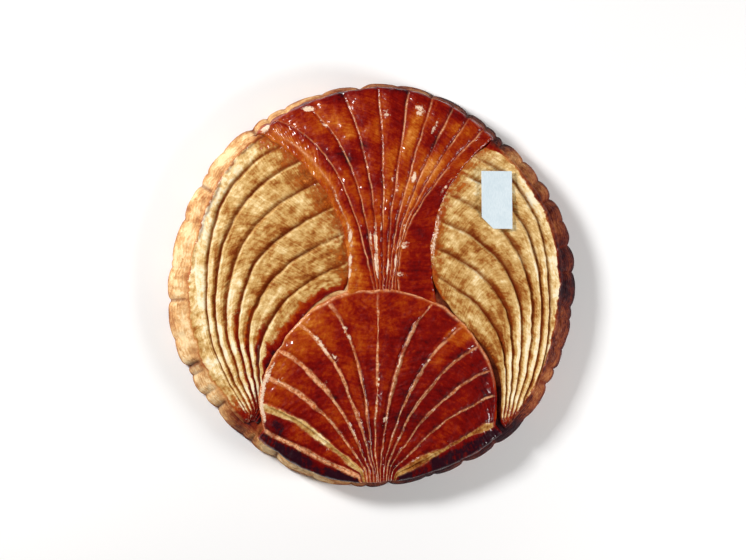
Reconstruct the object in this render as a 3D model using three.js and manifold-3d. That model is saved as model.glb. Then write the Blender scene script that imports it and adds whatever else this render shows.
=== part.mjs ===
/**
 * Galette des rois: one baked puff pastry pie with a fan, two gilded wings and a shell scored into its top,
 * and a small plain card lying on the right wing. Millimetres, +Z up, origin on the tray under the middle of
 * the pie, +Y towards the fan, +X towards the wing with the card.
 */
import * as THREE from "three";
import { mergeVertices } from "three/addons/utils/BufferGeometryUtils.js";
import Module from "manifold-3d";

const { clamp, degToRad, euclideanModulo, lerp, radToDeg, smoothstep } = THREE.MathUtils;
const wasm = await Module();
wasm.setup();

// ---------------------------------------------------------------------------------------- the whole pie
const FOOT_RADIUS = 137.9; // mean radius at the widest line, just above the tray
const TOP_RADIUS = 128.6; // mean radius of the edge where the top sheet turns down
const CROWN_HEIGHT = 33.5; // middle of the top sheet
const EDGE_HEIGHT = 20.5; // edge of the top sheet
const FOOT_HEIGHT = 3.2; // widest line of the side
const BASE_INSET = 3.4; // the flat base starts this far inside the widest line
const DOME_POWER = 2.6; // how late the top sheet falls away to its edge
const DOUGH_DROP = 0.8; // plain dough between the panels lies this far below them

// Slow waves of the outline: how many round the pie, how deep, and where the first one peaks
const RIM_WAVES = [
  { count: 1, depth: 1.5, peak: 250 },
  { count: 2, depth: 1.0, peak: -12 },
  { count: 3, depth: 0.7, peak: -37 },
  { count: 4, depth: 0.8, peak: 2 },
  { count: 6, depth: 1.1, peak: 17 },
];
const FLARE_OVAL = 4.0; // the side leans out more at the wings than at the fan and the shell
const FLARE_LEFT = 2.0; // and most at the left wing

// Notches pressed into the side: a close set from the first notch on, then wider ones
const FIRST_NOTCH = 4; // degrees from +X
const CLOSE_NOTCHES = 8;
const CLOSE_PITCH = 7.1; // degrees
const WIDE_NOTCHES = 27;
const NOTCH_DEPTH = 2.6;
const NOTCH_VARIATION = 1.3; // some are pressed deeper and some less
const NOTCH_VARIATION_STEP = 2.4; // radians from one notch to the next
const STEPS_PER_NOTCH = 5;

// Puffed layers showing in the side
const SIDE_STEPS = 7;
const LAYER_STEP = 0.55; // alternate layers stand out and in by this much
const TOP_RINGS = [0.96, 0.85, 0.6, 0.3]; // shares of the top radius

// ---------------------------------------------------------------------------------------- the scored top
const RELIEF_PER_PITCH = 0.2; // crest above its groove, per width of the strip, up to the panel's depth
const PANEL_THICKNESS = 4; // how deep a panel is sunk into the dough
const PANEL_START = 0.02; // wings and shell start this share of a score away from their focus
const STRIP_STEPS = [0, 0.14, 0.36, 0.7]; // where a strip between two scores has its columns
const SHINGLE_FALL = 0.85; // how much of its height a strip loses on the way to the next score
const SHINGLE_CURVE = 1.3;
const TRIM_INSET = 0.9; // the panels end this far inside the edge of the top sheet
const TRIM_LEVELS = [5, 60]; // heights between which the panels are trimmed

// The score lines are cubic curves. Guides give the four control points of a few of them, and the others are
// blended from these. A wing's scores leave its focus low at the side and end at the neck of the fan.
const LEFT_WING = {
  guides: [
    { line: 0, points: [[-89, -87], [-138, -18], [-129, 75], [-71, 102]] },
    { line: 2, points: [[-86, -86], [-122, -22], [-115, 62], [-42, 86]] },
    { line: 4, points: [[-84, -84], [-101, -7], [-90, 26], [-21, 55]] },
    { line: 7, points: [[-80, -82], [-71, -53], [-39, -1], [-19, -5]] },
  ],
  depth: 2.0,
  lift: 0,
};
const RIGHT_WING = {
  guides: [
    { line: 0, points: [[96, -97], [143, -49], [137, 75], [77, 94]] },
    { line: 2, points: [[94, -96], [132, -25], [120, 55], [58, 76]] },
    { line: 4, points: [[92, -95], [112, -16], [101, 23], [42, 45]] },
    { line: 7, points: [[88, -94], [91, -46], [74, -44], [48, -11]] },
  ],
  depth: 2.0,
  lift: 1.8,
};
const WING_OUTER_LINE = -0.6; // a wing runs on past its outermost crest to the edge of the pie
const WING_LAST_LINE = 7;
const WING_ROWS = 24;
const WING_FADE = 0.16; // the relief dies away over this last share of a score

// The fan: nine scores from the neck to the rim, inside two plain borders that form the neck
const FAN = {
  guides: [
    { line: 0, points: [[2, -8], [-13, 60], [-28, 107], [-80, 116]] },
    { line: 4, points: [[9, -8], [10, 45], [18, 80], [25, 137]] },
    { line: 8, points: [[18, -8], [12, 31], [33, 65], [82, 112]] },
  ],
  leftBorder: [[-17, -8], [-15, 32], [-20, 76], [-90, 109]],
  rightBorder: [[43, -8], [39, 32], [40, 66], [88, 104]],
  depth: 1.2,
  lift: 0.9,
};
const FAN_LAST_LINE = 8;
const FAN_ROWS = 20;
const FAN_RISE = [0.02, 0.1]; // the relief starts between these shares of a score, at the foot of the neck
const FAN_FLANK = 0.3; // the plain flanks of the neck, as a share of the relief

// The shell: a straight middle score with more on each side, fanning out from a focus at the rim to an arc.
// The guides' points are measured from the focus.
const SHELL = {
  guides: [
    { line: 1, points: [[1, 0], [5, 37], [12, 97], [37, 117]] },
    { line: 3, points: [[4, 0], [20, 44], [42, 75], [70, 87]] },
    { line: 6, points: [[7, 0], [50, 16], [54, 24], [84, 32]] },
  ],
  depth: 1.5,
  lift: 1.5,
};
const SHELL_FOCUS = [3.5, -132];
const SHELL_ARC_CENTRE = [5, -82];
const SHELL_ARC_RADIUS = 80;
const SHELL_RIGHT_LEAN = 0.96; // the right half opens a little less
const SHELL_LAST_LINE = 7;
const SHELL_ROWS = 18;
const SHELL_FADE = 0.12;
const SHELL_MIDDLE_BEAD = 0.6; // the middle score stands up as a bead, as a share of the relief
const SHELL_MIDDLE_BASE = 0.2;

// ---------------------------------------------------------------------------------------- the card
const CARD_SIZE = [21, 39.5];
const CARD_THICKNESS = 0.9;
const CARD_CUT = 7.8; // one corner is cut off
const CARD_CENTRE = [84.5, 57.5];
const CARD_GAP = 0.35;
const CARD_MARGIN = 4; // crests this far outside the card still carry it

const PASTRY = new THREE.MeshStandardMaterial({ color: 0xb2641f, roughness: 0.42, metalness: 0 });
const CARD = new THREE.MeshStandardMaterial({ color: 0xd6e4ec, roughness: 0.7, metalness: 0 });

// ---------------------------------------------------------------------------------------- outline
const NOTCH_COUNT = CLOSE_NOTCHES + WIDE_NOTCHES;
const CLOSE_ARC = CLOSE_NOTCHES * CLOSE_PITCH;
const WIDE_PITCH = (360 - CLOSE_ARC) / WIDE_NOTCHES;

/** Angle round the pie, in radians, at a place counted in notches. */
function angleAtNotch(place) {
  const close = Math.min(place, CLOSE_NOTCHES);
  return degToRad(FIRST_NOTCH + close * CLOSE_PITCH + (place - close) * WIDE_PITCH);
}

/** Place round the pie counted in notches, at an angle in radians. */
function notchAtAngle(angle) {
  const turn = euclideanModulo(radToDeg(angle) - FIRST_NOTCH, 360);
  const close = Math.min(turn, CLOSE_ARC);
  return close / CLOSE_PITCH + (turn - close) / WIDE_PITCH;
}

/** Slow waves of the outline at an angle. */
function rimWave(angle) {
  const waves = RIM_WAVES.map(({ count, depth, peak }) => depth * Math.cos(count * (angle - degToRad(peak))));
  return waves.reduce((sum, wave) => sum + wave, 0);
}

/** How far the side leans out between the top edge and the foot. */
function flare(angle) {
  return FOOT_RADIUS - TOP_RADIUS + FLARE_OVAL * Math.cos(2 * angle) - FLARE_LEFT * Math.cos(angle);
}

/** How deep the outline is pressed in: sharp in each notch, nothing on the lobe between two. */
function notchDepth(angle) {
  const place = notchAtAngle(angle);
  const lobe = place - Math.floor(place);
  const nearest = Math.round(place) % NOTCH_COUNT;
  const depth = NOTCH_DEPTH + NOTCH_VARIATION * Math.sin(NOTCH_VARIATION_STEP * nearest);
  return depth * (1 - Math.sqrt(Math.sin(Math.PI * lobe)));
}

/** Radius of the widest line of the side. */
function footRadius(angle) {
  return FOOT_RADIUS + rimWave(angle) - notchDepth(angle);
}

/** Radius of the edge of the top sheet. */
function topRadius(angle) {
  return FOOT_RADIUS + rimWave(angle) - flare(angle);
}

/** Height of the plain domed top sheet. */
function domeHeight(x, y) {
  const reach = Math.hypot(x, y) / topRadius(Math.atan2(y, x));
  return CROWN_HEIGHT - (CROWN_HEIGHT - EDGE_HEIGHT) * Math.min(reach, 1.1) ** DOME_POWER;
}

// ---------------------------------------------------------------------------------------- score lines
/** Control points of any score, blended through those of the guides. */
function blendGuides(guides, line) {
  const points = [0, 1, 2, 3].map(() => new THREE.Vector2());
  guides.forEach((guide) => {
    const others = guides.filter((other) => other !== guide).map((other) => other.line);
    const weight = others.reduce((product, other) => product * (line - other) / (guide.line - other), 1);
    guide.points.forEach((point, index) => {
      points[index].addScaledVector(new THREE.Vector2(...point), weight);
    });
  });
  return points;
}

/** Point of the cubic curve with these control points. */
function onCurve(points, along) {
  return new THREE.CubicBezierCurve(...points).getPoint(along);
}

/** Point of the fan: between the scores, or on the way from the last score to a border. */
function fanPoint(line, along) {
  const border = (line < 0 ? FAN.leftBorder : FAN.rightBorder).map(([x, y]) => new THREE.Vector2(x, y));
  const scored = clamp(line, 0, FAN_LAST_LINE);
  const point = onCurve(blendGuides(FAN.guides, scored), along);
  return point.lerp(onCurve(border, along), Math.abs(line - scored));
}

/** Point of the shell. Scores count outwards from the straight middle one, negative on the left. */
function shellPoint(line, along) {
  const count = Math.abs(line);
  const lean = line > 0 ? SHELL_RIGHT_LEAN : -1;
  const focus = new THREE.Vector2(...SHELL_FOCUS);
  const centre = new THREE.Vector2(...SHELL_ARC_CENTRE);
  const axis = centre.y + SHELL_ARC_RADIUS - focus.y;
  const points = blendGuides(SHELL.guides, Math.max(count, 1)).map((point, index) => {
    point.lerpVectors(new THREE.Vector2(0, axis * index / 3), point, Math.min(count, 1));
    const bearing = Math.atan2(point.x, point.y);
    return point.rotateAround(new THREE.Vector2(), bearing * (1 - lean)).add(focus);
  });
  points[3].sub(centre).setLength(SHELL_ARC_RADIUS).add(centre);
  return onCurve(points, along);
}

// ---------------------------------------------------------------------------------------- relief
/** How much of its height an overlapping strip still has at a share of the way across it. */
function slope(share) {
  return 1 - SHINGLE_FALL * share ** SHINGLE_CURVE;
}

/** Overlapping strip: a steep step up beside its outer score, then a slow fall to the next one. */
function shingle(share) {
  return Math.min(share / STRIP_STEPS[1], 1) * slope(share);
}

/** The outermost strip of a wing has its crest on its own score, with a plain fall to the edge outside it. */
function wingRelief(line) {
  if (line < 0) {
    return 1 - line / WING_OUTER_LINE;
  }
  return line < 1 ? slope(line) : shingle(line - Math.floor(line));
}

/** The fan's ribs are soft pillows, its left border a bead beside a plain flank, its right border plain. */
function fanRelief(line) {
  if (line < 0) {
    return FAN_FLANK * smoothstep(-line, 0, 0.3) + smoothstep(-line, 0.5, 1 - STRIP_STEPS[1]);
  }
  return line > FAN_LAST_LINE ? FAN_FLANK : Math.sqrt(Math.abs(Math.sin(Math.PI * line)));
}

/** The shell's strips step down outwards, so the score beside a step is its outer one. */
function shellRelief(line) {
  const count = Math.abs(line);
  return count < 1
    ? SHELL_MIDDLE_BASE + SHELL_MIDDLE_BEAD * Math.cos(Math.PI * count) ** 2
    : shingle(Math.ceil(count) - count);
}

/** Lines on which a panel has its columns: the steps of each strip, counted from its outer score. */
function panelLines(first, last, outward) {
  const lines = new Set([first, last]);
  for (let score = Math.floor(first); score < last; score += 1) {
    STRIP_STEPS.forEach((step) => lines.add(outward(score) ? score + 1 - step : score + step));
  }
  return [...lines].filter((line) => line >= first && line <= last).sort((a, b) => a - b);
}

/** Panels in the order in which each lies over the one before. A reversed one is wound the other way. */
const PANELS = [
  {
    ...LEFT_WING,
    point: (line, along) => onCurve(blendGuides(LEFT_WING.guides, line), along),
    relief: wingRelief,
    fade: (along) => smoothstep(1 - along, 0, WING_FADE),
    lines: panelLines(WING_OUTER_LINE, WING_LAST_LINE, () => false),
    spans: [[PANEL_START, 1], WING_ROWS],
    strips: [0, WING_LAST_LINE - 1],
  },
  {
    ...FAN,
    point: fanPoint,
    relief: fanRelief,
    fade: (along) => smoothstep(along, ...FAN_RISE),
    lines: panelLines(-1, FAN_LAST_LINE + 1, () => false),
    spans: [[0, 1], FAN_ROWS],
    strips: [-1, FAN_LAST_LINE],
  },
  {
    ...SHELL,
    point: shellPoint,
    relief: shellRelief,
    fade: (along) => smoothstep(1 - along, 0, SHELL_FADE),
    lines: panelLines(-SHELL_LAST_LINE, SHELL_LAST_LINE, (score) => score >= 0),
    spans: [[PANEL_START, 1], SHELL_ROWS],
    strips: [-SHELL_LAST_LINE, SHELL_LAST_LINE - 1],
  },
  {
    ...RIGHT_WING,
    point: (line, along) => onCurve(blendGuides(RIGHT_WING.guides, line), along),
    relief: wingRelief,
    fade: (along) => smoothstep(1 - along, 0, WING_FADE),
    lines: panelLines(WING_OUTER_LINE, WING_LAST_LINE, () => false),
    spans: [[1, PANEL_START], WING_ROWS],
    strips: [0, WING_LAST_LINE - 1],
  },
];

// ---------------------------------------------------------------------------------------- solids
/** The closed geometry as a solid that can be joined and cut. */
function solidFrom(geometry) {
  geometry.deleteAttribute("normal");
  geometry.deleteAttribute("uv");
  const merged = mergeVertices(geometry, 1e-5);
  return new wasm.Manifold(new wasm.Mesh({
    numProp: 3,
    vertProperties: new Float32Array(merged.attributes.position.array),
    triVerts: new Uint32Array(merged.index.array),
  }));
}

/** The solid as a faceted geometry. */
function geometryFrom(solid) {
  const mesh = solid.getMesh();
  const geometry = new THREE.BufferGeometry();
  geometry.setAttribute("position", new THREE.BufferAttribute(new Float32Array(mesh.vertProperties), 3));
  geometry.setIndex(new THREE.BufferAttribute(new Uint32Array(mesh.triVerts), 1));
  return geometry;
}

/** Moves every vertex of a geometry to where place() puts it. */
function reshape(geometry, place) {
  const position = geometry.attributes.position;
  const vertex = new THREE.Vector3();
  for (let index = 0; index < position.count; index += 1) {
    vertex.fromBufferAttribute(position, index);
    position.setXYZ(index, ...place(vertex));
  }
  return geometry;
}

/** Turned solid whose profile, given for a round pie, is stretched to the outline of this one. */
function turned(profile, height) {
  const columns = NOTCH_COUNT * STEPS_PER_NOTCH;
  const lathe = new THREE.LatheGeometry(profile.map(([r, z]) => new THREE.Vector2(r, z)), columns);
  return reshape(lathe, (vertex) => {
    const turn = euclideanModulo(Math.atan2(vertex.x, vertex.z) / (2 * Math.PI), 1);
    const angle = angleAtNotch((Math.round(turn * columns) % columns) / STEPS_PER_NOTCH);
    const round = Math.hypot(vertex.x, vertex.z);
    const beyond = (round - TOP_RADIUS) / (FOOT_RADIUS - TOP_RADIUS);
    const radius = beyond > 0
      ? lerp(topRadius(angle), footRadius(angle), beyond)
      : round / TOP_RADIUS * topRadius(angle);
    const x = radius * Math.cos(angle);
    const y = radius * Math.sin(angle);
    return [x, y, height(vertex.y, x, y)];
  });
}

/** The dough: flat base, layered side leaning out to the foot, domed top. */
function makeDough() {
  const side = [];
  for (let step = 0; step <= SIDE_STEPS; step += 1) {
    const swing = step / SIDE_STEPS * Math.PI / 2;
    const layer = step % SIDE_STEPS ? LAYER_STEP * (-1) ** step : 0;
    side.push([
      lerp(TOP_RADIUS, FOOT_RADIUS, Math.cos(swing)) + layer,
      lerp(FOOT_HEIGHT, EDGE_HEIGHT, Math.sin(swing)),
    ]);
  }
  const rings = TOP_RINGS.map((share) => [share * TOP_RADIUS, CROWN_HEIGHT]);
  const profile = [[0, 0], [FOOT_RADIUS - BASE_INSET, 0], ...side, ...rings, [0, CROWN_HEIGHT]];
  return solidFrom(turned(profile, (z, x, y) => (z < CROWN_HEIGHT ? z : domeHeight(x, y) - DOUGH_DROP)));
}

/** Everything inside the edge of the top sheet, to trim the panels with. */
function makeTrim() {
  const radius = TOP_RADIUS - TRIM_INSET;
  const [low, high] = TRIM_LEVELS;
  return solidFrom(turned([[0, low], [radius, low], [radius, high], [0, high]], (z) => z));
}

/** Height of a panel's surface: the dome, its lift, and the relief of the strip that the point lies in. */
function panelHeight(panel, line, along) {
  const point = panel.point(line, along);
  const strip = clamp(Math.floor(line), ...panel.strips);
  const pitch = panel.point(strip, along).distanceTo(panel.point(strip + 1, along));
  const relief = Math.min(panel.depth, RELIEF_PER_PITCH * pitch) * panel.relief(line) * panel.fade(along);
  return domeHeight(point.x, point.y) + panel.lift + relief;
}

/** A panel: a slab whose top follows the scores, sunk into the dough. */
function makePanel(panel) {
  const [[start, end], rows] = panel.spans;
  const columns = panel.lines.length - 1;
  const slab = new THREE.BoxGeometry(1, 1, 1, columns, rows, 1);
  return solidFrom(reshape(slab, (vertex) => {
    const line = panel.lines[Math.round((vertex.x + 0.5) * columns)];
    const along = lerp(start, end, vertex.y + 0.5);
    const point = panel.point(line, along);
    const bottom = domeHeight(point.x, point.y) - PANEL_THICKNESS;
    return [point.x, point.y, vertex.z > 0 ? panelHeight(panel, line, along) : bottom];
  }));
}

/** The pie in one piece: the dough with its panels fused on. */
function makePie() {
  const trim = makeTrim();
  return PANELS.reduce((pie, panel) => pie.add(makePanel(panel).intersect(trim)), makeDough());
}

/** The card's outline about its own centre, with the lower left corner cut off. */
function cardOutline() {
  const [right, top] = CARD_SIZE.map((side) => side / 2);
  const outline = new THREE.Shape();
  outline.moveTo(CARD_CUT - right, -top);
  outline.lineTo(right, -top);
  outline.lineTo(right, top);
  outline.lineTo(-right, top);
  outline.lineTo(-right, CARD_CUT - top);
  return outline;
}

/** Lays the card on the crests under it, leaning with the dome. */
function layCard(card, pieGeometry) {
  const [x, y] = CARD_CENTRE;
  const [reachX, reachY] = CARD_SIZE.map((side) => side / 2 + CARD_MARGIN);
  const upright = new THREE.Vector3(
    (domeHeight(x - reachX, y) - domeHeight(x + reachX, y)) / (2 * reachX),
    (domeHeight(x, y - reachY) - domeHeight(x, y + reachY)) / (2 * reachY),
    1,
  ).normalize();
  const position = pieGeometry.attributes.position;
  const vertex = new THREE.Vector3();
  let highest = 0;
  for (let index = 0; index < position.count; index += 1) {
    vertex.fromBufferAttribute(position, index).sub(new THREE.Vector3(x, y, 0));
    if (Math.abs(vertex.x) < reachX && Math.abs(vertex.y) < reachY) {
      highest = Math.max(highest, vertex.dot(upright));
    }
  }
  card.quaternion.setFromUnitVectors(new THREE.Vector3(0, 0, 1), upright);
  card.position.set(x, y, (highest + CARD_GAP) / upright.z);
}

const pie = new THREE.Mesh(geometryFrom(makePie()), PASTRY);
pie.name = "galette";

const cardGeometry = new THREE.ExtrudeGeometry(cardOutline(), { depth: CARD_THICKNESS, bevelEnabled: false });
const card = new THREE.Mesh(cardGeometry, CARD);
card.name = "label_card";
layCard(card, pie.geometry);

const box = new THREE.Box3().setFromObject(pie);
const galette = new THREE.Group();
galette.position.set(-(box.min.x + box.max.x) / 2, -(box.min.y + box.max.y) / 2, -box.min.z);
galette.add(pie, card);

export default galette;
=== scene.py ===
"""Galette des rois: the baked surface of the pie, its finishes, a plain card, and a small studio.

The pie's plan is worked out in millimetres from the same named sizes as its solids, and put down in
metres. Each panel of the scored top is a closed solid sunk into the dough, with its columns along the score
lines. A point of a panel is given by its line, counted in scores across the panel, and its share along that
line.
"""

import logging
import math
from dataclasses import dataclass, field
from enum import Enum
from typing import ClassVar, Sequence

import bmesh
import bpy
import numpy as np
from mathutils import Matrix, Vector


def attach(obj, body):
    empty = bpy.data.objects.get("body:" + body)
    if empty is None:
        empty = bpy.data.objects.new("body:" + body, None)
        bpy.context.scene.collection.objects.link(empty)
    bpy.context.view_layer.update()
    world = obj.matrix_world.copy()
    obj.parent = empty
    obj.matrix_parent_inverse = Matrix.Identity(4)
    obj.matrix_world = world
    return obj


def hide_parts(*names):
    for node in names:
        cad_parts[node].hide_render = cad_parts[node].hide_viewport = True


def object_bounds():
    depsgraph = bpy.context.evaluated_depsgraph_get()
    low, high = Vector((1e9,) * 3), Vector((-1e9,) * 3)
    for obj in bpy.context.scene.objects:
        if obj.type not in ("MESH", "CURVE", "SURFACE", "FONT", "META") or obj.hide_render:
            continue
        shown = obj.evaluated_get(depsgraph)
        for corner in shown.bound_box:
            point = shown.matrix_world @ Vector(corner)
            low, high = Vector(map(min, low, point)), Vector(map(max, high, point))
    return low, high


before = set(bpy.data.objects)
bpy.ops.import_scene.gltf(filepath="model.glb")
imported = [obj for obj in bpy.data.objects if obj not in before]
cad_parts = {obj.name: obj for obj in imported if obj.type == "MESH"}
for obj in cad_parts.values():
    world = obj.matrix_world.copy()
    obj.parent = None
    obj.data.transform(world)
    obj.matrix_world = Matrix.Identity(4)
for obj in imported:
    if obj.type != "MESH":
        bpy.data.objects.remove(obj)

LOG = logging.getLogger("galette")
Array = np.ndarray
Paint = dict[str, Array]
Recipe = dict[str, dict[str, float]]
Socket = bpy.types.NodeSocket

MM = 0.001
CAD_BOX = [list(corner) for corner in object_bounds()]
PLAN_SHIFT = np.array([0.75, 0.74, 0.0])  # from the pie's own plan to the middle of its box, in millimetres


# ------------------------------------------------------------------------------------------ small helpers
def smoothstep(low: float, high: float, value: Array) -> Array:
    """Soft step from 0 at low to 1 at high, which may be the smaller one."""
    share = np.clip((value - low) / (high - low), 0.0, 1.0)
    return share * share * (3.0 - 2.0 * share)


def window(value: Array, rise: tuple, fall: tuple) -> Array:
    """Soft window: 0 at the first number of rise and of fall, and 1 between their second ones."""
    return smoothstep(*rise, value) * smoothstep(*fall, value)


def bell(value: Array, width: Array) -> Array:
    """Soft bump of height 1 at 0, falling to about a third at a distance of width."""
    return np.exp(-np.square(value / width))


def mix(first: Array, second: Array, share: Array) -> Array:
    """Plain blend from the first value to the second."""
    return first + (second - first) * share


class Noise:
    """Smooth seeded noise in space, from -1 to 1."""

    SIDE: ClassVar[int] = 48  # steps after which the lattice repeats
    LEVELS: ClassVar[int] = 3  # sizes of noise that rough noise is made of
    SHIFT: ClassVar[float] = 7.3  # steps between the sizes, so that they don't line up

    def __init__(self, seed: int) -> None:
        """Draws the lattice of a seed."""
        self.lattice = np.random.default_rng(seed).uniform(-1.0, 1.0, (self.SIDE, self.SIDE, self.SIDE))

    def __call__(self, x: Array, y: Array, z: Array) -> Array:
        """Noise at places given in lattice steps.

        Args:
            x, y, z: the places.

        Returns:
            One value for each place.
        """
        place = np.stack(np.broadcast_arrays(x, y, z), -1).astype(float)
        corner = np.floor(place).astype(int)
        share = place - corner
        share = share * share * (3.0 - 2.0 * share)
        total = np.zeros(place.shape[:-1])
        for index in range(8):
            step = np.array([index & 1, index >> 1 & 1, index >> 2])
            weight = np.prod(np.where(step, share, 1.0 - share), axis=-1)
            cell = (corner + step) % self.SIDE
            total += weight * self.lattice[cell[..., 0], cell[..., 1], cell[..., 2]]
        return total

    def rough(self, x: Array, y: Array, z: Array) -> Array:
        """Noise with two finer sizes of noise on it.

        Args:
            x, y, z: the places, in steps of the coarsest noise.

        Returns:
            One value for each place, about -1 to 1.
        """
        total = sum(
            0.5**level * self(x * 2.0**level + self.SHIFT * level, y * 2.0**level, z * 2.0**level)
            for level in range(self.LEVELS)
        )
        return total / (2.0 - 0.5 ** (self.LEVELS - 1))

    def over_plan(self, spot: Array, step: float, layer: float) -> Array:
        """Noise at places in the plan, with steps of a size in millimetres."""
        return self(spot[..., 0] / step, spot[..., 1] / step, layer)

    def rough_over_plan(self, spot: Array, step: float, layer: float) -> Array:
        """Rough noise at places in the plan, with steps of a size in millimetres."""
        return self.rough(spot[..., 0] / step, spot[..., 1] / step, layer)

    def round_pie(self, angle: Array, steps: float, layer: Array) -> Array:
        """Noise round the pie, on a circle whose radius is a number of steps."""
        return self(np.cos(angle) * steps, np.sin(angle) * steps, layer)

    def rough_round_pie(self, angle: Array, steps: float, layer: Array) -> Array:
        """Rough noise round the pie, on a circle whose radius is a number of steps."""
        return self.rough(np.cos(angle) * steps, np.sin(angle) * steps, layer)


# ------------------------------------------------------------------------------------------ the pie's plan
@dataclass(frozen=True)
class Outline:
    """The whole pie: its outline, its side and its dome, in millimetres and degrees."""

    foot_radius: float = 137.83
    top_radius: float = 128.6
    crown_height: float = 33.5
    edge_height: float = 20.5
    foot_height: float = 3.2
    base_inset: float = 3.4
    dome_power: float = 2.6
    dough_drop: float = 0.8
    waves: tuple = ((1, 1.5, 250), (2, 1.0, -12), (3, 0.7, -37), (4, 0.8, 2), (6, 1.1, 17))
    flare_oval: float = 4.0
    flare_left: float = 2.0
    side_length: float = 21.0
    layers: float = 8.0
    layer_relief: float = 1.0
    layer_waves: float = 1.1  # how many layers the torn edges wander up and down
    torn_relief: float = 0.4
    hollow_relief: float = 0.5
    fold_relief: float = 0.5
    fold_bake: float = 0.14  # how much paler the crests of the small folds are baked
    # how dark the side is round the pie: partly its baking, and partly painted shade on the right and lower
    # sides
    bake_and_shade_by_angle: tuple = (
        (0, 0.94), (10, 0.9), (22, 0.7), (42, 0.5), (49, 0.84), (60, 0.84), (75, 0.6), (90, 0.5),
        (104, 0.42), (114, 0.32), (124, 0.26), (140, 0.2), (160, 0.17), (185, 0.18), (205, 0.16),
        (219, 0.24), (227, 0.5), (236, 0.13), (252, 0.12), (262, 0.3), (266, 0.5), (269, 0.88),
        (290, 0.98), (308, 0.98), (318, 0.74), (332, 0.72), (345, 0.74),
    )
    deep_nicks: tuple = (
        (50, 2.2), (122.5, 2.4), (146, 1.8), (175, 1.6), (204, 3.6), (213.5, 2.2), (232, 1.6),
        (268, 1.5), (288, 1.6), (335, 2.4), (350, 1.4),
    )
    nick_width: float = 0.9
    seam: tuple = ((118, 128), (182, 158))  # degrees where the seam below the left wing starts and ends
    seam_width: float = 1.0
    seam_strength: float = 0.7
    crease_shade_fade: tuple = (0.5, 5.0)  # how far outside the edge the painted shade in the creases of the notches grows dark
    crease_shade_strength: float = 0.85
    first_notch: float = 4.0
    close_notches: int = 8
    close_pitch: float = 7.1
    wide_notches: int = 27
    notch_depth: float = 2.6
    notch_variation: float = 1.3
    notch_step: float = 2.4
    notch_jitter: float = 0.12
    notch_fade: tuple = (1.0, 0.55)  # courses of the side between which the notches grow to their depth

    @property
    def notches(self) -> int:
        """How many notches there are round the pie."""
        return self.close_notches + self.wide_notches

    @property
    def wide_pitch(self) -> float:
        """Degrees between the wider notches."""
        return (360.0 - self.close_notches * self.close_pitch) / self.wide_notches

    def angle_at(self, place: Array) -> Array:
        """Angle in radians at a place counted in notches."""
        close = np.minimum(place, self.close_notches)
        return np.radians(self.first_notch + close * self.close_pitch + (place - close) * self.wide_pitch)

    def place_at(self, angle: Array) -> Array:
        """Counts notches round the pie.

        Args:
            angle: angles in radians.

        Returns:
            The places there, counted in notches from the first one.
        """
        turn = np.mod(np.degrees(angle) - self.first_notch, 360.0)
        close = np.minimum(turn, self.close_notches * self.close_pitch)
        return close / self.close_pitch + (turn - close) / self.wide_pitch

    def wave(self, angle: Array) -> Array:
        """Slow waves of the outline."""
        return sum(depth * np.cos(count * (angle - math.radians(peak))) for count, depth, peak in self.waves)

    def flare(self, angle: Array) -> Array:
        """How far the side leans out between the top edge and the foot."""
        lean = self.foot_radius - self.top_radius
        return lean + self.flare_oval * np.cos(2 * angle) - self.flare_left * np.cos(angle)

    def notch(self, angle: Array) -> Array:
        """Presses the notches and the deep nicks into the outline.

        Args:
            angle: angles round the pie.

        Returns:
            How deep the outline is pressed in there.
        """
        place = self.place_at(angle)
        lobe = place + self.notch_jitter * LUMPS.round_pie(angle, 18.9, 6.0)
        nearest = np.mod(np.round(place), self.notches)
        depth = self.notch_depth + self.notch_variation * np.sin(self.notch_step * nearest)
        pressed = depth * (1.0 - np.sqrt(np.abs(np.sin(np.pi * lobe))))
        for degrees, extra in self.deep_nicks:
            aside = np.abs(np.mod(np.degrees(angle) - degrees + 180.0, 360.0) - 180.0)
            pressed = pressed + extra * np.exp(-aside / self.nick_width)
        return pressed

    def folds(self, angle: Array, over: Array) -> Array:
        """Small folds that run down the side, from -1 to 1."""
        broad = LUMPS.round_pie(angle, 42.0, over / 11.0)
        return 0.6 * broad + 0.4 * GRAIN.round_pie(angle, 95.0, over / 9.0)

    def bake(self, angle: Array) -> Array:
        """How dark the side is: partly its baking, and partly painted shade on the right and lower sides,
        which face away from the key light.
        """
        marks = np.array([*self.bake_and_shade_by_angle, (360, self.bake_and_shade_by_angle[0][1])], float)
        return np.interp(np.mod(np.degrees(angle), 360.0), marks[:, 0], marks[:, 1])

    def edge(self, angle: Array) -> Array:
        """Radius of the edge where the top sheet turns down."""
        return self.foot_radius + self.wave(angle) - self.flare(angle)

    def dome(self, x: Array, y: Array) -> Array:
        """Height of the plain domed top."""
        reach = np.minimum(np.hypot(x, y) / self.edge(np.arctan2(y, x)), 1.0)
        return self.crown_height - (self.crown_height - self.edge_height) * reach**self.dome_power

    def course(self, over: Array) -> Array:
        """Mark of the side at a distance below the edge: 1 at the edge and 0 at the foot."""
        return 1.0 - np.clip(over / self.side_length, 0.0, 1.0)

    def crust(self, angle: Array, course: Array) -> Array:
        """Relief of the bare side: thin torn layers, and soft hollows between them.

        Args:
            angle: angles round the pie.
            course: marks of the side, 1 at the edge and 0 at the foot.

        Returns:
            How far the crust stands out there.
        """
        wobble = LUMPS.rough_round_pie(angle, 9.0, 2.0 + course)
        phase = course * self.layers + self.layer_waves * wobble
        leaf = np.abs(np.sin(np.pi * phase)) ** 0.6
        strength = 0.5 + 0.5 * LUMPS.round_pie(angle, 17.0, np.floor(phase) * 3.1)
        torn = GRAIN.rough_round_pie(angle, 60.0, course * 14.0)
        open_side = np.sin(np.pi * np.clip(course, 0.0, 1.0)) ** 0.4
        relief = self.layer_relief * strength * (leaf - 1.0)
        relief = relief + self.torn_relief * (torn - 0.5) + self.hollow_relief * (wobble - 0.8)
        return open_side * (relief + self.fold_relief * (self.folds(angle, course * self.side_length) - 0.6))

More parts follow.
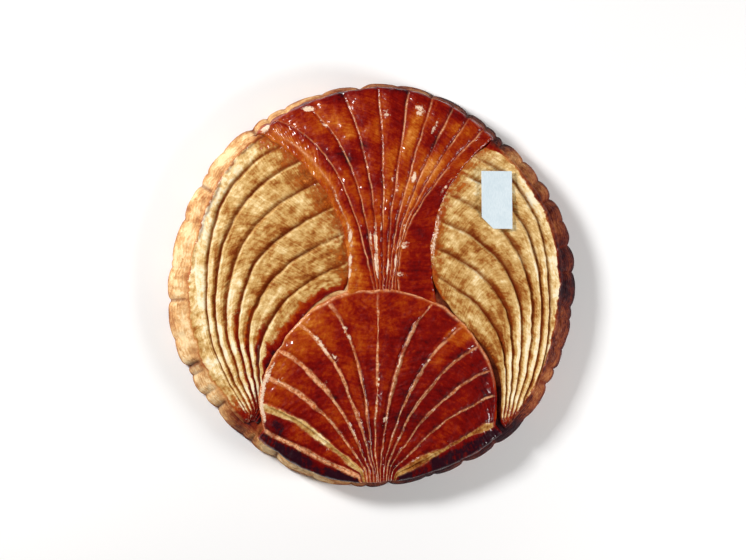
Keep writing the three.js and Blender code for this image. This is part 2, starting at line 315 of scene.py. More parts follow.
    def skin(self, angle: Array, over: Array) -> tuple:
        """Plain surface of the pie over its top and down its side.

        Args:
            angle: angle round the pie.
            over: distance outside the edge, less than 0 on the top and measured down the side below it.

        Returns:
            Radius and height there, and the outward and upward parts of the surface's upright.
        """
        course = self.course(over)
        swing = course * np.pi / 2
        edge, lean = self.edge(angle), self.flare(angle)
        drop = self.edge_height - self.foot_height
        radius = edge + np.minimum(over, 0.0) + lean * np.cos(swing)
        radius = radius - self.notch(angle) * smoothstep(*self.notch_fade, course)
        top = self.dome(radius * np.cos(angle), radius * np.sin(angle))
        height = np.where(over < 0, top, self.foot_height + drop * np.sin(swing))
        size = np.hypot(drop * np.cos(swing), lean * np.sin(swing))
        return radius, height, drop * np.cos(swing) / size, lean * np.sin(swing) / size


PIE = Outline()
LUMPS = Noise(11)
GRAIN = Noise(23)


def off_edge(spot: Array) -> tuple:
    """Angle of places in the plan, and how far outside the edge they are."""
    angle = np.arctan2(spot[..., 1], spot[..., 0])
    return angle, np.hypot(spot[..., 0], spot[..., 1]) - PIE.edge(angle)


def to_rim(spot: Array, over: float, share: Array) -> Array:
    """Moves places in the plan a share of their way straight out to a line round the pie.

    Args:
        spot: the places.
        over: how far outside the edge that line is.
        share: the share of the way, 0 or less to leave a place where it is.

    Returns:
        The new places.
    """
    radius = np.hypot(spot[..., 0], spot[..., 1])
    angle = np.arctan2(spot[..., 1], spot[..., 0])
    new_radius = mix(radius, PIE.edge(angle) + over, np.clip(share, 0.0, 1.0))
    return spot * (new_radius / radius)[..., None]


def stand_up(angle: Array, radius: Array, height: Array) -> Array:
    """Points from their angles, radii and heights."""
    return np.stack([radius * np.cos(angle), radius * np.sin(angle), height], -1)


def dome_lumps(spot: Array) -> Array:
    """Soft lumps of the top, which the dough and the panels share."""
    return 0.25 * LUMPS.rough_over_plan(spot, 9.0, 0.5)


def wavy(spot: Array) -> Array:
    """Moves places in the plan a little to and fro, as lines drawn by hand are.

    Args:
        spot: the places.

    Returns:
        The new places.
    """
    sway = [
        0.8 * LUMPS.over_plan(spot, 13.0, layer) + 0.45 * LUMPS.over_plan(spot, 4.5, layer + 5.0)
        for layer in (20.5, 30.5)
    ]
    return spot + np.stack(sway, -1)


def side_marks(angle: Array, over: Array) -> Array:
    """Dark seam below the left wing's rim, and painted shade in the creases of the notches.

    Args:
        angle: angles round the pie.
        over: distances outside the edge.

    Returns:
        How dark the marks are there, from 0 to 1.
    """
    degrees = np.mod(np.degrees(angle), 360.0)
    patchy = LUMPS.rough_round_pie(angle, 22.0, 4.0)
    seam = bell(over + 0.6 + 1.6 * patchy, PIE.seam_width) * window(degrees, *PIE.seam)
    seam = PIE.seam_strength * seam * smoothstep(-0.45, 0.15, patchy)
    # painted shade in the creases of the notches
    pressed = smoothstep(PIE.notch_depth - 1.2, PIE.notch_depth + 0.6, PIE.notch(angle))
    return np.maximum(seam, PIE.crease_shade_strength * (pressed * smoothstep(*PIE.crease_shade_fade, over)))


@dataclass(frozen=True)
class Guide:
    """Four control points of one score line."""

    line: float
    points: tuple


def blend(guides: Sequence[Guide], line: Array) -> Array:
    """Control points of any score line, blended through those of the guides.

    Args:
        guides: the given lines.
        line: the numbers of the wanted lines.

    Returns:
        Four points for each line.
    """
    total = np.zeros(line.shape + (4, 2))
    for guide in guides:
        weight = np.ones(line.shape)
        for other in guides:
            if other is not guide:
                weight = weight * (line - other.line) / (guide.line - other.line)
        total += weight[..., None, None] * np.array(guide.points, float)
    return total


def on_curve(points: Array, along: Array) -> Array:
    """Points of cubic curves.

    Args:
        points: four control points for each curve.
        along: the shares of the curves' lengths.

    Returns:
        One point for each curve.
    """
    share = along[..., None]
    rest = 1.0 - share
    return (
        rest**3 * points[..., 0, :]
        + 3 * rest**2 * share * points[..., 1, :]
        + 3 * rest * share**2 * points[..., 2, :]
        + share**3 * points[..., 3, :]
    )


# ------------------------------------------------------------------------------------------ mesh helpers
def read(mesh: bpy.types.Mesh) -> Array:
    """Reads all vertices of a mesh.

    Args:
        mesh: the mesh.

    Returns:
        Their places, in the mesh's own units.
    """
    flat = np.empty(len(mesh.vertices) * 3, np.float32)
    mesh.vertices.foreach_get("co", flat)
    return flat.reshape(-1, 3).astype(float)


def write(mesh: bpy.types.Mesh, points: Array) -> None:
    """Puts all vertices of a mesh at new places, given in millimetres in the pie's own plan."""
    mesh.vertices.foreach_set("co", ((points + PLAN_SHIFT) * MM).astype(np.float32).ravel())
    mesh.update()


def settle(work: bmesh.types.BMesh, name: str) -> bpy.types.Mesh:
    """Makes a mesh from a finished bmesh and frees it.

    Args:
        work: the bmesh.
        name: the new mesh's name.

    Returns:
        The mesh.
    """
    mesh = bpy.data.meshes.new(name)
    work.to_mesh(mesh)
    work.free()
    return mesh


def face_outwards(mesh: bpy.types.Mesh) -> None:
    """Turns all faces of a closed mesh outwards and shades it smoothly.

    Args:
        mesh: the mesh.
    """
    work = bmesh.new()
    work.from_mesh(mesh)
    bmesh.ops.recalc_face_normals(work, faces=work.faces[:])
    work.to_mesh(mesh)
    work.free()
    mesh.shade_smooth()


def paint(mesh: bpy.types.Mesh, coats: Paint) -> None:
    """Stores one number a vertex for each coat, for the finishes to read.

    Args:
        mesh: the mesh.
        coats: the numbers by the name of their coat.
    """
    for name, values in coats.items():
        layer = mesh.attributes.new(name, "FLOAT", "POINT")
        layer.data.foreach_set("value", np.clip(values, -1.0, 1.0).astype(np.float32))


def lay_uv(mesh: bpy.types.Mesh, across: Array, along: Array) -> None:
    """Lays the piece's own map.

    Args:
        mesh: the mesh.
        across: how far across the strips each vertex is, in metres.
        along: how far along them it is, in metres.
    """
    corners = np.empty(len(mesh.loops), np.int32)
    mesh.loops.foreach_get("vertex_index", corners)
    places = np.stack([across[corners], along[corners]], -1)
    mesh.uv_layers.new(name="strips").data.foreach_set("uv", places.astype(np.float32).ravel())


def add_piece(mesh: bpy.types.Mesh, node: str, finish: bpy.types.Material) -> bpy.types.Object:
    """Puts a finished mesh in the scene in place of a node.

    Args:
        mesh: the finished mesh, in the row's frame.
        node: the node that it stands for.
        finish: its material.

    Returns:
        The new piece.
    """
    piece = bpy.data.objects.new(mesh.name, mesh)
    bpy.context.scene.collection.objects.link(piece)
    mesh.materials.append(finish)
    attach(piece, "root")
    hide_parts(node)
    return piece


# ------------------------------------------------------------------------------------------ the scored top
def slow_fall(share: Array) -> Array:
    """Slow fall of an overlapping strip away from its outer score."""
    return 1.0 - 0.85 * np.abs(share) ** 1.3


def shingle(share: Array) -> Array:
    """Profile of an overlapping strip: a steep face beside its outer score, then a slow fall."""
    return smoothstep(0.0, 0.12, share) * slow_fall(share)


def spots(line: Array, along: Array, places: Sequence[tuple]) -> Array:
    """Soft spots on a panel.

    Args:
        line: score numbers.
        along: shares along the scores.
        places: score number, share, their two half widths, and strength of each spot.

    Returns:
        How strong the spots are there.
    """
    return sum(strength * bell(line - across, wide) * bell(along - share, long)
               for across, share, wide, long, strength in places)


@dataclass
class Panel:
    """One scored panel of the top: a fine closed sheet sunk into the dough, and draped over its rim.

    Its grid runs across the scores by their number and along them by a share of their length. Its recipe
    gives the weight of each of its marks in each coat, where the mark "plain" is 1 all over.
    """

    name: str
    guides: tuple
    first: float
    last: float
    depth: float
    lift: float
    strips: tuple
    columns_per_strip: int = 22
    rows: int = 360
    crowding: float = 0.55  # how much closer together the columns are beside a score
    start: float = 0.02  # share of the scores at which the panel starts
    farthest: float = 1.15  # share of a line's length at which it has left the pie for certain
    relief_per_pitch: float = 0.24  # depth that a strip may have for each millimetre of its width
    edge_rounding: float = 2.2  # width over which the borders turn down
    grain: float = 0.07  # height of the fine grain
    border_sink: float = 0.6  # how far below the dough the borders end
    drape: float = 6.0  # how far down the side the panel runs
    overrun: float = 0.02  # share of the way beyond that by which its last points still differ
    bare_from: float = 0.0  # how far down the side its own coat runs
    bare_fade: tuple = (-1.0, 1.8)  # the bare crust takes over between these distances from there
    bare_wander: float = 1.3  # how far that edge wanders up and down
    tuck: float = 2.0  # width over which the lowest part turns in below the crust
    tuck_depth: float = 2.6
    crust_lift: float = 0.3  # how far the draped part stands out from the dough's own side
    skirt_floor: float = 11.0  # height at which the sheet ends inside the dough
    skirt_inset: float = 5.0
    map_pitch: float = 0.012  # width of a strip in the piece's own map, in metres
    recipe: ClassVar[Recipe] = {}

    def plan(self, line: Array, along: Array) -> Array:
        """Place in the plan of a point given by its score line and its share along it."""
        return on_curve(blend(self.guides, line), along)

    def relief(self, line: Array, along: Array, pitch: Array) -> Array:
        """Height in millimetres of the scored surface above the lifted dome."""
        raise NotImplementedError

    def border(self, line: Array, along: Array, pitch: Array, length: Array) -> Array:
        """Distance in millimetres to the panel's nearest open border."""
        raise NotImplementedError

    def marks(self, line: Array, along: Array, pitch: Array, spot: Array) -> Paint:
        """Marks that the panel's coats are mixed from, by name."""
        raise NotImplementedError

    def strip_of(self, line: Array) -> Array:
        """Number of the strip that a line lies in."""
        return np.clip(np.floor(line), *self.strips)

    def to_score(self, line: Array, pitch: Array) -> Array:
        """Distance in millimetres to the nearest score, less than 0 on the side of the lower numbers."""
        return (line - np.round(line)) * pitch

    def depth_at(self, pitch: Array) -> Array:
        """Depth of the strips' relief, which narrow strips don't have in full."""
        return np.minimum(self.depth, self.relief_per_pitch * pitch)

    def reach(self, lines: Array) -> Array:
        """Finds where the lines have run far enough over the rim of the pie.

        Args:
            lines: the numbers of the lines.

        Returns:
            The share of each line's length there, at most a little over 1.
        """
        shares = np.linspace(0.5, self.farthest, 260)
        over = off_edge(self.plan(*np.meshgrid(lines, shares, indexing="ij")))[1] >= self.drape
        return np.where(over.any(axis=1), shares[over.argmax(axis=1)], 1.0)

    def line_steps(self) -> Array:
        """Places the grid's columns, closer together beside each score.

        Returns:
            The line number of each column.
        """
        count = round((self.last - self.first) * self.columns_per_strip)
        even = np.linspace(self.first, self.last, count + 1)
        return even - self.crowding * np.sin(2 * np.pi * even) / (2 * np.pi)

    def sheet(self, columns: int) -> bpy.types.Mesh:
        """Makes the closed sheet: a unit grid with a skirt below it.

        Args:
            columns: how many faces it has across the scores.

        Returns:
            The sheet, whose skirt ends at a height of -1.
        """
        work = bmesh.new()
        bmesh.ops.create_grid(work, x_segments=columns, y_segments=self.rows, size=0.5)
        outer = [edge for edge in work.edges if edge.is_boundary]
        skirt = bmesh.ops.extrude_edge_only(work, edges=outer)["geom"]
        low = [item for item in skirt if isinstance(item, bmesh.types.BMVert)]
        bmesh.ops.translate(work, verts=low, vec=(0.0, 0.0, -1.0))
        hem = [item for item in skirt if isinstance(item, bmesh.types.BMEdge) and item.is_boundary]
        bmesh.ops.contextual_create(work, geom=hem)
        return settle(work, self.name)

    def build(self, finish: bpy.types.Material) -> bpy.types.Object:
        """Builds the panel.

        Args:
            finish: its material.

        Returns:
            The finished piece.
        """
        lines = self.line_steps()
        mesh = self.sheet(len(lines) - 1)
        grid = read(mesh)
        column = np.round((grid[:, 0] + 0.5) * (len(lines) - 1)).astype(int)
        line = lines[column]
        along = mix(self.start, self.reach(lines)[column], grid[:, 1] + 0.5)
        spot = self.plan(line, along)
        strip = self.strip_of(line)
        pitch = np.linalg.norm(self.plan(strip + 1, along) - self.plan(strip, along), axis=-1)
        step = 0.02
        length = np.linalg.norm(spot - self.plan(line, along - step), axis=-1) / step
        points = self.place(line, along, pitch, length, wavy(spot))
        skirt = grid[:, 2] < -0.5
        points[skirt] = self.skirt(points[skirt])
        write(mesh, points)
        paint(mesh, self.turn_bare(self.coats(line, along, pitch, spot), spot))
        lay_uv(mesh, line * self.map_pitch, along * length * MM)
        face_outwards(mesh)
        return add_piece(mesh, "galette", finish)

    def place(self, line: Array, along: Array, pitch: Array, length: Array, spot: Array) -> Array:
        """Puts the panel's surface on the dome and down the side, and turns its borders into the dough.

        Args:
            line: score numbers.
            along: shares along the scores.
            pitch: widths of the strips there.
            length: lengths of the scores there.
            spot: places in the plan.

        Returns:
            The points in millimetres.
        """
        angle, over = off_edge(spot)
        over = np.minimum(over, self.drape + self.overrun * over)
        radius, height, out, up = PIE.skin(angle, over)
        round_over = np.minimum(self.edge_rounding, 0.5 * pitch + 0.3)
        share = np.clip(self.border(line, along, pitch, length) / round_over, 0.0, 1.0)
        rounding = np.sqrt(1.0 - np.square(1.0 - share))
        lumps = dome_lumps(spot) + self.grain * GRAIN.over_plan(spot, 1.8, 0.5)
        proud = self.lift + self.relief(line, along, pitch) + lumps
        proud = mix(-PIE.dough_drop - self.border_sink, proud, rounding)
        crust = PIE.crust(angle, PIE.course(over)) + self.crust_lift
        proud = mix(proud, crust, smoothstep(0.0, self.drape - self.tuck, over))
        proud = mix(proud, -self.tuck_depth, smoothstep(self.drape - self.tuck, self.drape, over))
        return stand_up(angle, radius + out * proud, np.minimum(height + up * proud, CAD_BOX[1][2] / MM))

    def skirt(self, points: Array) -> Array:
        """Moves the lowest points of the skirt well inside the dough.

        Args:
            points: the border's points above them.

        Returns:
            Their places in millimetres.
        """
        over = off_edge(points)[1]
        shrink = 1.0 - np.maximum(over + self.skirt_inset, 0.0) / np.hypot(points[:, 0], points[:, 1])
        floor = np.full(len(points), self.skirt_floor)
        return np.stack([points[:, 0] * shrink, points[:, 1] * shrink, floor], -1)

    def coats(self, line: Array, along: Array, pitch: Array, spot: Array) -> Paint:
        """Mixes the panel's coats from its marks, by its recipe.

        Args:
            line: score numbers.
            along: shares along the scores.
            pitch: widths of the strips there.
            spot: places in the plan.

        Returns:
            How much there is of each coat, by its name.
        """
        marks = {"plain": np.ones(line.shape), **self.marks(line, along, pitch, spot)}
        return {
            coat: sum(weight * marks[mark] for mark, weight in weights.items())
            for coat, weights in self.recipe.items()
        }

    def turn_bare(self, coats: Paint, spot: Array) -> Paint:
        """Lets the bare crust of the side take over where the panel turns down over the rim.

        Args:
            coats: the panel's own coats.
            spot: places in the plan.

        Returns:
            The coats with those of the side below the rim.
        """
        angle, over = off_edge(spot)
        wander = self.bare_wander * LUMPS.rough_over_plan(spot, 3.0, 8.0)
        begin, end = (self.bare_from + shift for shift in self.bare_fade)
        bare = smoothstep(begin, end, over + wander)
        turned = {name: values * (1.0 - bare) for name, values in coats.items()}
        # the side's darkness, with its painted shade on the right and lower sides
        crust_bake_and_shade = PIE.bake(angle) - PIE.fold_bake * PIE.folds(angle, over)
        turned["bake"] = mix(coats["bake"], crust_bake_and_shade, bare)
        turned["crust"] = bare
        turned["gild"] = mix(coats["gild"], -1.0, bare)
        turned["score"] = np.maximum(turned["score"], side_marks(angle, over))
        return turned


@dataclass
class Wing(Panel):
    """A gilded wing, whose scores run from a focus low at the side to the neck."""

    maroon_hem: bool = False  # the innermost strip sinks to bare, dark dough
    columns_per_strip: int = 23
    rows: int = 380
    groove: float = 0.45  # depth of the groove outside each score
    ripple: float = 0.16  # height of the small folds across the strips
    bare_line: float = -2.0  # the gold ends at this line along the upper part of the rim
    slip: float = 0.33  # how far the second score strays inwards
    focus_rim: float = 0.04  # share of the scores over which they run on down the rim
    focus_shift: tuple = (0.0, 0.0)  # where the scores bend to close to their focus
    bright: float = 0.0  # how much paler the upper part is, and how strong the painted highlight along the edge at the neck
    neck_length: float = 100.0  # length of a score near the neck
    recipe: ClassVar[Recipe] = {
        # the lip, the pale crests and the edge carry painted highlight, the feet and the scores painted shade
        "gild": {"plain": 1.0, "foot": -0.35, "neck": -0.7, "focus": -1.3, "hem": -1.9, "bare": -1.3,
                 "deep": -1.1, "lip": 0.3},
        "tone_and_painted_light": {"pale": 1.0, "lip": 0.7, "foot": -1.0, "neck": -0.7, "focus": -0.8, "hem": -0.5,
                 "upper": 0.35, "scores": -0.4},
        "bake": {"plain": 0.3, "foot": 0.15, "focus": 0.3, "hem": 0.34, "bare": 0.28, "neck": 0.1,
                 "deep": 0.25},
        "score": {"scores": 1.0},
        "painted_highlight": {"low_crest_highlight": 0.3, "edge": 0.75},
    }

    def plan(self, line: Array, along: Array) -> Array:
        """Follows the scores, or the way from the first one to the rim.

        Args:
            line: score numbers.
            along: shares along the scores.

        Returns:
            Places in the plan.
        """
        strayed = np.maximum(line, 0.0) + self.slip * bell(line - 1.15, 0.7) * bell(along - 0.44, 0.15)
        spot = on_curve(blend(self.guides, strayed), along)
        spot = spot + np.array(self.focus_shift) * smoothstep(0.24, 0.02, along)[..., None]
        spot = to_rim(spot, self.drape, line / self.first)
        return to_rim(spot, self.drape, smoothstep(self.focus_rim, 0.0, along))

    def relief(self, line: Array, along: Array, pitch: Array) -> Array:
        """Shapes shingles whose grooves thin out towards the neck.

        Args:
            line: score numbers.
            along: shares along the scores.
            pitch: widths of the strips there.

        Returns:
            Heights in millimetres above the lifted dome.
        """
        share = line - self.strip_of(line)
        inner = slow_fall(np.clip(share, 0.0, 1.0))
        body = np.where(line < 0, smoothstep(-0.95, -0.2, line), np.where(line < 1, inner, shingle(share)))
        depth = self.depth_at(pitch) * smoothstep(0.0, 0.16, 1.0 - along)
        return depth * body - self.groove * self.grooves(line, along, pitch, 0.8) + self.ripples(line, along)

    def grooves(self, line: Array, along: Array, pitch: Array, width: float) -> Array:
        """Cuts a groove just outside each score.

        Args:
            line: score numbers.
            along: shares along the scores.
            pitch: widths of the strips there.
            width: half width of a groove in millimetres.

        Returns:
            Depths of the grooves, from 0 to 1.
        """
        score = self.to_score(line, pitch) + 0.45
        grooves = bell(np.where(score < 0, score * 0.75, score * 1.3), np.minimum(width, 0.12 * pitch + 0.15))
        grooves = grooves * (line > 0.5) * (line < self.last - 0.5)
        worn = 0.75 + 0.35 * LUMPS(line * 1.3, along * 9.0, self.lift + 3.0)
        return grooves * worn * window(along, (0.02, 0.1), (1.0, 0.93))

    def ripples(self, line: Array, along: Array) -> Array:
        """Small folds across the strips."""
        folds = self.ripple * LUMPS(line * 1.2, along * 42.0, self.lift + 7.0)
        return folds * smoothstep(0.0, 0.2, 1.0 - along)

    def border(self, line: Array, along: Array, pitch: Array, length: Array) -> Array:
        """The wing ends at its last score and at the neck."""
        return np.minimum((self.last - line) * pitch, (1.0 - along) * length)

    def marks(self, line: Array, along: Array, pitch: Array, spot: Array) -> Paint:
        """Gold rubbed over the strips, cream on their crests, partly as painted highlight, and brown at their
        feet, partly as painted shade.

        Args:
            line: score numbers.
            along: shares along the scores.
            pitch: widths of the strips there.
            spot: places in the plan.

        Returns:
            The marks by name.
        """
        strip = self.strip_of(line)
        lumps = LUMPS.rough_over_plan(spot, 6.0, 3.5)
        share = line - strip + 0.07 * lumps
        reach = 0.8 - 0.07 * line + 0.1 * lumps
        low = smoothstep(reach, reach - 0.3, along)
        worn = 0.5 + 0.6 * LUMPS(line * 2.0, along * 16.0, self.lift + 11.0)
        # cream lip inside each score: partly a paler edge, and partly painted highlight on the crest
        lip = bell((line - strip) * pitch - 0.9, 0.8) * (line > 0) * mix(worn, 1.1, low)
        crest = window(share, (0.0, 0.08), (0.58, 0.3))
        outer = window(line, (-0.7, -0.2), (1.0, 0.75)) * smoothstep(1.0, 0.8, along)
        cracked = smoothstep(-0.25, 0.25, LUMPS.rough_over_plan(spot, 3.2, 9.5))
        rust_end = along - 0.05 * (line - 3.0) + 0.1 * lumps
        rusty = smoothstep(0.08, 0.22, along) * smoothstep(0.62, 0.42, rust_end)
        deep = smoothstep(0.3, 0.8, share + 0.2 * lumps) * smoothstep(2.2, 4.0, line)
        deep = deep * smoothstep(0.46, 0.2, along)
        sunk = smoothstep(0.1, 0.9, share + 0.3 * lumps - 0.3 * smoothstep(0.5, 0.75, along))
        ragged = self.bare_line + 0.12 * lumps
        from_neck = (1.0 - along) * self.neck_length
        return {
            "lip": lip,
            "low_crest_highlight": lip * low,
            # pale: cream on the lower crests, partly painted highlight, and on the outermost strip
            "pale": np.maximum(crest * low, outer * mix(0.35, 1.0, cracked)),
            # foot: brown towards the next score, partly painted shade on the slope that falls away from the
            # light
            "foot": smoothstep(0.5, 0.95, share + 0.12 * lumps) * mix(0.25, 1.0, rusty) * (line > 0.9),
            "neck": smoothstep(0.86 + 0.06 * self.bright, 1.0, along + 0.05 * lumps),
            "focus": smoothstep(0.12, 0.015, along + 0.03 * lumps),
            "deep": deep * self.maroon_hem,
            "hem": sunk * (strip == self.last - 1) * self.maroon_hem,
            "upper": self.bright * smoothstep(0.5, 0.75, along) * smoothstep(4.0, 2.0, line),
            # edge: painted highlight along the raised edge at the neck
            "edge": self.bright * bell(from_neck - 1.6, 1.3) * bell(line - 4.6, 1.2),
            "bare": smoothstep(ragged, ragged - 0.2, line) * smoothstep(0.35, 0.6, along),
            # scores: dark score lines, widened into painted shade beside the grooves
            "scores": self.grooves(line, along, pitch, 1.4) * mix(0.6, 0.85, smoothstep(0.3, 0.5, along)),
        }


@dataclass
class Fan(Panel):
    """The glazed fan: soft ribs between nine scores, and two plain borders that form the neck."""

    left_border: tuple = ((-17, -8), (-15, 32), (-20, 76), (-90, 109))
    right_border: tuple = ((43, -8), (39, 32), (40, 66), (88, 104))
    browned: tuple = (
        (0.9, 0.62, 0.9, 0.07, 0.26), (2.0, 0.7, 0.6, 0.03, 0.3), (5.9, 0.78, 0.6, 0.06, 0.42),
        (6.3, 0.93, 1.6, 0.03, 0.35), (0.5, 0.17, 0.5, 0.08, 0.4), (3.6, 0.9, 0.4, 0.1, 0.2),
        (4.9, 0.32, 0.9, 0.05, 0.25),
    )
    # paler amber patches of the glaze: score number, share, their two half widths, and strength of each
    thin: tuple = (
        (4.5, 0.78, 0.4, 0.07, 0.3), (6.5, 0.72, 1.2, 0.06, 0.3), (5.5, 0.52, 1.6, 0.1, 0.24),
        (1.6, 0.8, 0.4, 0.08, 0.2), (3.4, 0.55, 0.5, 0.12, 0.16), (7.0, 0.38, 1.0, 0.1, 0.2),
    )
    # spots of painted highlight: score number, share, their two half widths, and strength of each
    pale: tuple = (
        (-0.62, 0.28, 0.16, 0.05, 1.5), (-0.85, 0.18, 0.12, 0.035, 1.6),
        (-0.98, 0.12, 0.1, 0.03, 1.5), (-0.6, 0.45, 0.1, 0.1, 0.7), (2.0, 0.23, 0.26, 0.06, 1.7),
        (1.7, 0.12, 0.36, 0.05, 1.7), (6.8, 0.29, 0.22, 0.03, 1.3), (6.4, 0.18, 0.3, 0.05, 1.2),
        (8.1, 0.31, 0.14, 0.03, 1.0), (4.2, 0.14, 0.24, 0.05, 1.3), (1.3, 0.23, 0.2, 0.05, 0.9),
        (2.8, 0.3, 0.2, 0.03, 0.7), (4.25, 0.52, 0.2, 0.025, 1.0), (5.45, 0.61, 0.22, 0.03, 1.2),
        (7.5, 0.615, 0.6, 0.012, 1.0), (7.1, 0.38, 0.7, 0.02, 0.8), (7.8, 0.13, 0.6, 0.02, 0.7),
        (6.0, 0.19, 0.5, 0.02, 0.6), (4.6, 0.9, 0.3, 0.03, 1.0), (5.6, 0.85, 0.12, 0.04, 0.8),
        (3.25, 0.87, 0.2, 0.02, 0.9), (0.95, 0.933, 0.15, 0.02, 1.4), (0.97, 0.82, 0.1, 0.035, 1.0),
        (-0.55, 0.93, 0.3, 0.013, 1.4), (8.95, 0.5, 0.06, 0.14, 0.8), (8.7, 0.66, 0.12, 0.07, 0.7),
        (3.72, 0.55, 0.1, 0.02, 0.9),
    )
    scores: int = 8
    flank: float = 0.3
    full_pitch: float = 4.0  # width from which a strip has its score's raised lip in full
    lip: float = 0.3  # height of the lip that a score raises
    groove: float = 0.2  # depth of the groove beside it
    wrinkles: tuple = (0.14, 0.35)  # heights of the fine and the broad wrinkles
    recipe: ClassVar[Recipe] = {
        "bake": {"plain": 0.52, "browned": 1.0, "shade": 0.16, "thin": -1.0, "border": -0.22, "right": -0.09,
                 "low": -0.06},
        "cut": {"faces": 1.0},
        "score": {"shade": 0.12},
        "painted_highlight": {"ridge_highlights": 0.15, "pale": 1.0},
        "matt": {"matt": 1.0},
        "gild": {"plain": -0.6},
    }

    def plan(self, line: Array, along: Array) -> Array:
        """Runs between the scores, or on the way from the last score to a border.

        Args:
            line: score numbers.
            along: shares along the scores.

        Returns:
            Places in the plan.
        """
        scored = np.clip(line, 0, self.scores)
        point = on_curve(blend(self.guides, scored), along)
        left, right = (np.broadcast_to(np.array(side, float), line.shape + (4, 2))
                       for side in (self.left_border, self.right_border))
        border = on_curve(np.where((line < 0)[..., None, None], left, right), along)
        return mix(point, border, np.abs(line - scored)[..., None])

    def on_scores(self, line: Array) -> Array:
        """1 where there are scores, 0 on the plain borders."""
        return ((line > -0.3) & (line < self.scores + 0.3)).astype(float)

    def beside_score(self, line: Array, pitch: Array) -> Array:
        """Distance to the nearest score in millimetres of a broad strip."""
        return self.to_score(line, pitch) / np.minimum(1.0, pitch / self.full_pitch)

    def relief(self, line: Array, along: Array, pitch: Array) -> Array:
        """Shapes ribs, a bead along the left border, and plain flanks.

        Args:
            line: score numbers.
            along: shares along the scores.
            pitch: widths of the strips there.

        Returns:
            Heights in millimetres above the lifted dome.
        """
        ribs = 0.35 + 0.65 * np.abs(np.sin(np.pi * line)) ** 0.8
        bead = mix(0.35, self.flank, smoothstep(0.0, 0.3, -line)) + smoothstep(0.5, 0.84, -line)
        body = np.where(line < 0, bead, np.where(line > self.scores, self.flank, ribs))
        depth = self.depth_at(pitch) * smoothstep(-0.02, 0.06, along)
        score = self.beside_score(line, pitch)
        raised = self.lip * bell(score - 0.7, 0.7) - self.groove * bell(score + 0.5, 0.8)
        raised = raised * np.minimum(1.0, pitch / self.full_pitch) * self.on_scores(line)
        fine, broad = self.wrinkles
        wrinkles = fine * LUMPS(line * 0.9 + along * 4.0, along * 60.0, 12.0)
        wrinkles = wrinkles + broad * LUMPS(line * 1.6, along * 20.0, 14.0)
        return depth * body + raised + wrinkles * mix(0.3, 1.0, smoothstep(-0.3, 0.1, line))

    def border(self, line: Array, along: Array, pitch: Array, length: Array) -> Array:
        """The fan ends at its borders and under the shell."""
        sides = np.minimum(line - self.first, self.last - line) * pitch
        return np.minimum(sides, (along - self.start) * length + 0.2)

    def marks(self, line: Array, along: Array, pitch: Array, spot: Array) -> Paint:
        """Amber glaze, darker on the right of each rib as painted shade, and in a few browned patches.

        Args:
            line: score numbers.
            along: shares along the scores.
            pitch: widths of the strips there.
            spot: places in the plan; not used.

        Returns:
            The marks by name.
        """
        on_scores = self.on_scores(line)
        score = self.beside_score(line, pitch)
        worn = 0.6 + 0.6 * LUMPS(line * 1.3, along * 14.0, 17.0)
        broken = smoothstep(-0.6, 0.1, LUMPS.rough(line * 1.1, along * 55.0, 27.0))
        ridge = bell(score - 0.4, 0.5) * on_scores * smoothstep(0.99, 0.9, along)
        trim = bell(line + 0.57, 0.05) * window(along, (0.28, 0.36), (0.95, 0.75))
        rim = smoothstep(0.92, 1.0, along)
        right_neck = smoothstep(8.02, 8.1, line) * smoothstep(0.74, 0.6, along)
        return {
            "browned": spots(line, along, self.browned) + 0.2 * rim + 0.22 * right_neck,
            "thin": spots(line, along, self.thin),
            # shade: painted shade on the flank of each score that faces away from the light
            "shade": bell(score + 0.9, 1.1) * on_scores,
            "border": smoothstep(-0.2, -0.5, line),
            "right": bell(line - 6.0, 2.0) * smoothstep(0.3, 0.5, along),
            "low": smoothstep(0.48, 0.3, along),
            "faces": np.maximum(0.9 * ridge * worn, 0.75 * trim * worn),
            # painted highlights along the scores' raised lips
            "ridge_highlights": ridge * smoothstep(0.0, 0.5, worn - 0.6),
            # painted highlight in pale spots
            "pale": spots(line, along, self.pale) * mix(0.45, 1.0, broken),
            "matt": bell(score + 0.2, 2.2) * on_scores * smoothstep(2.0, 4.0, line + 6.0 * (along < 0.4)),
        }


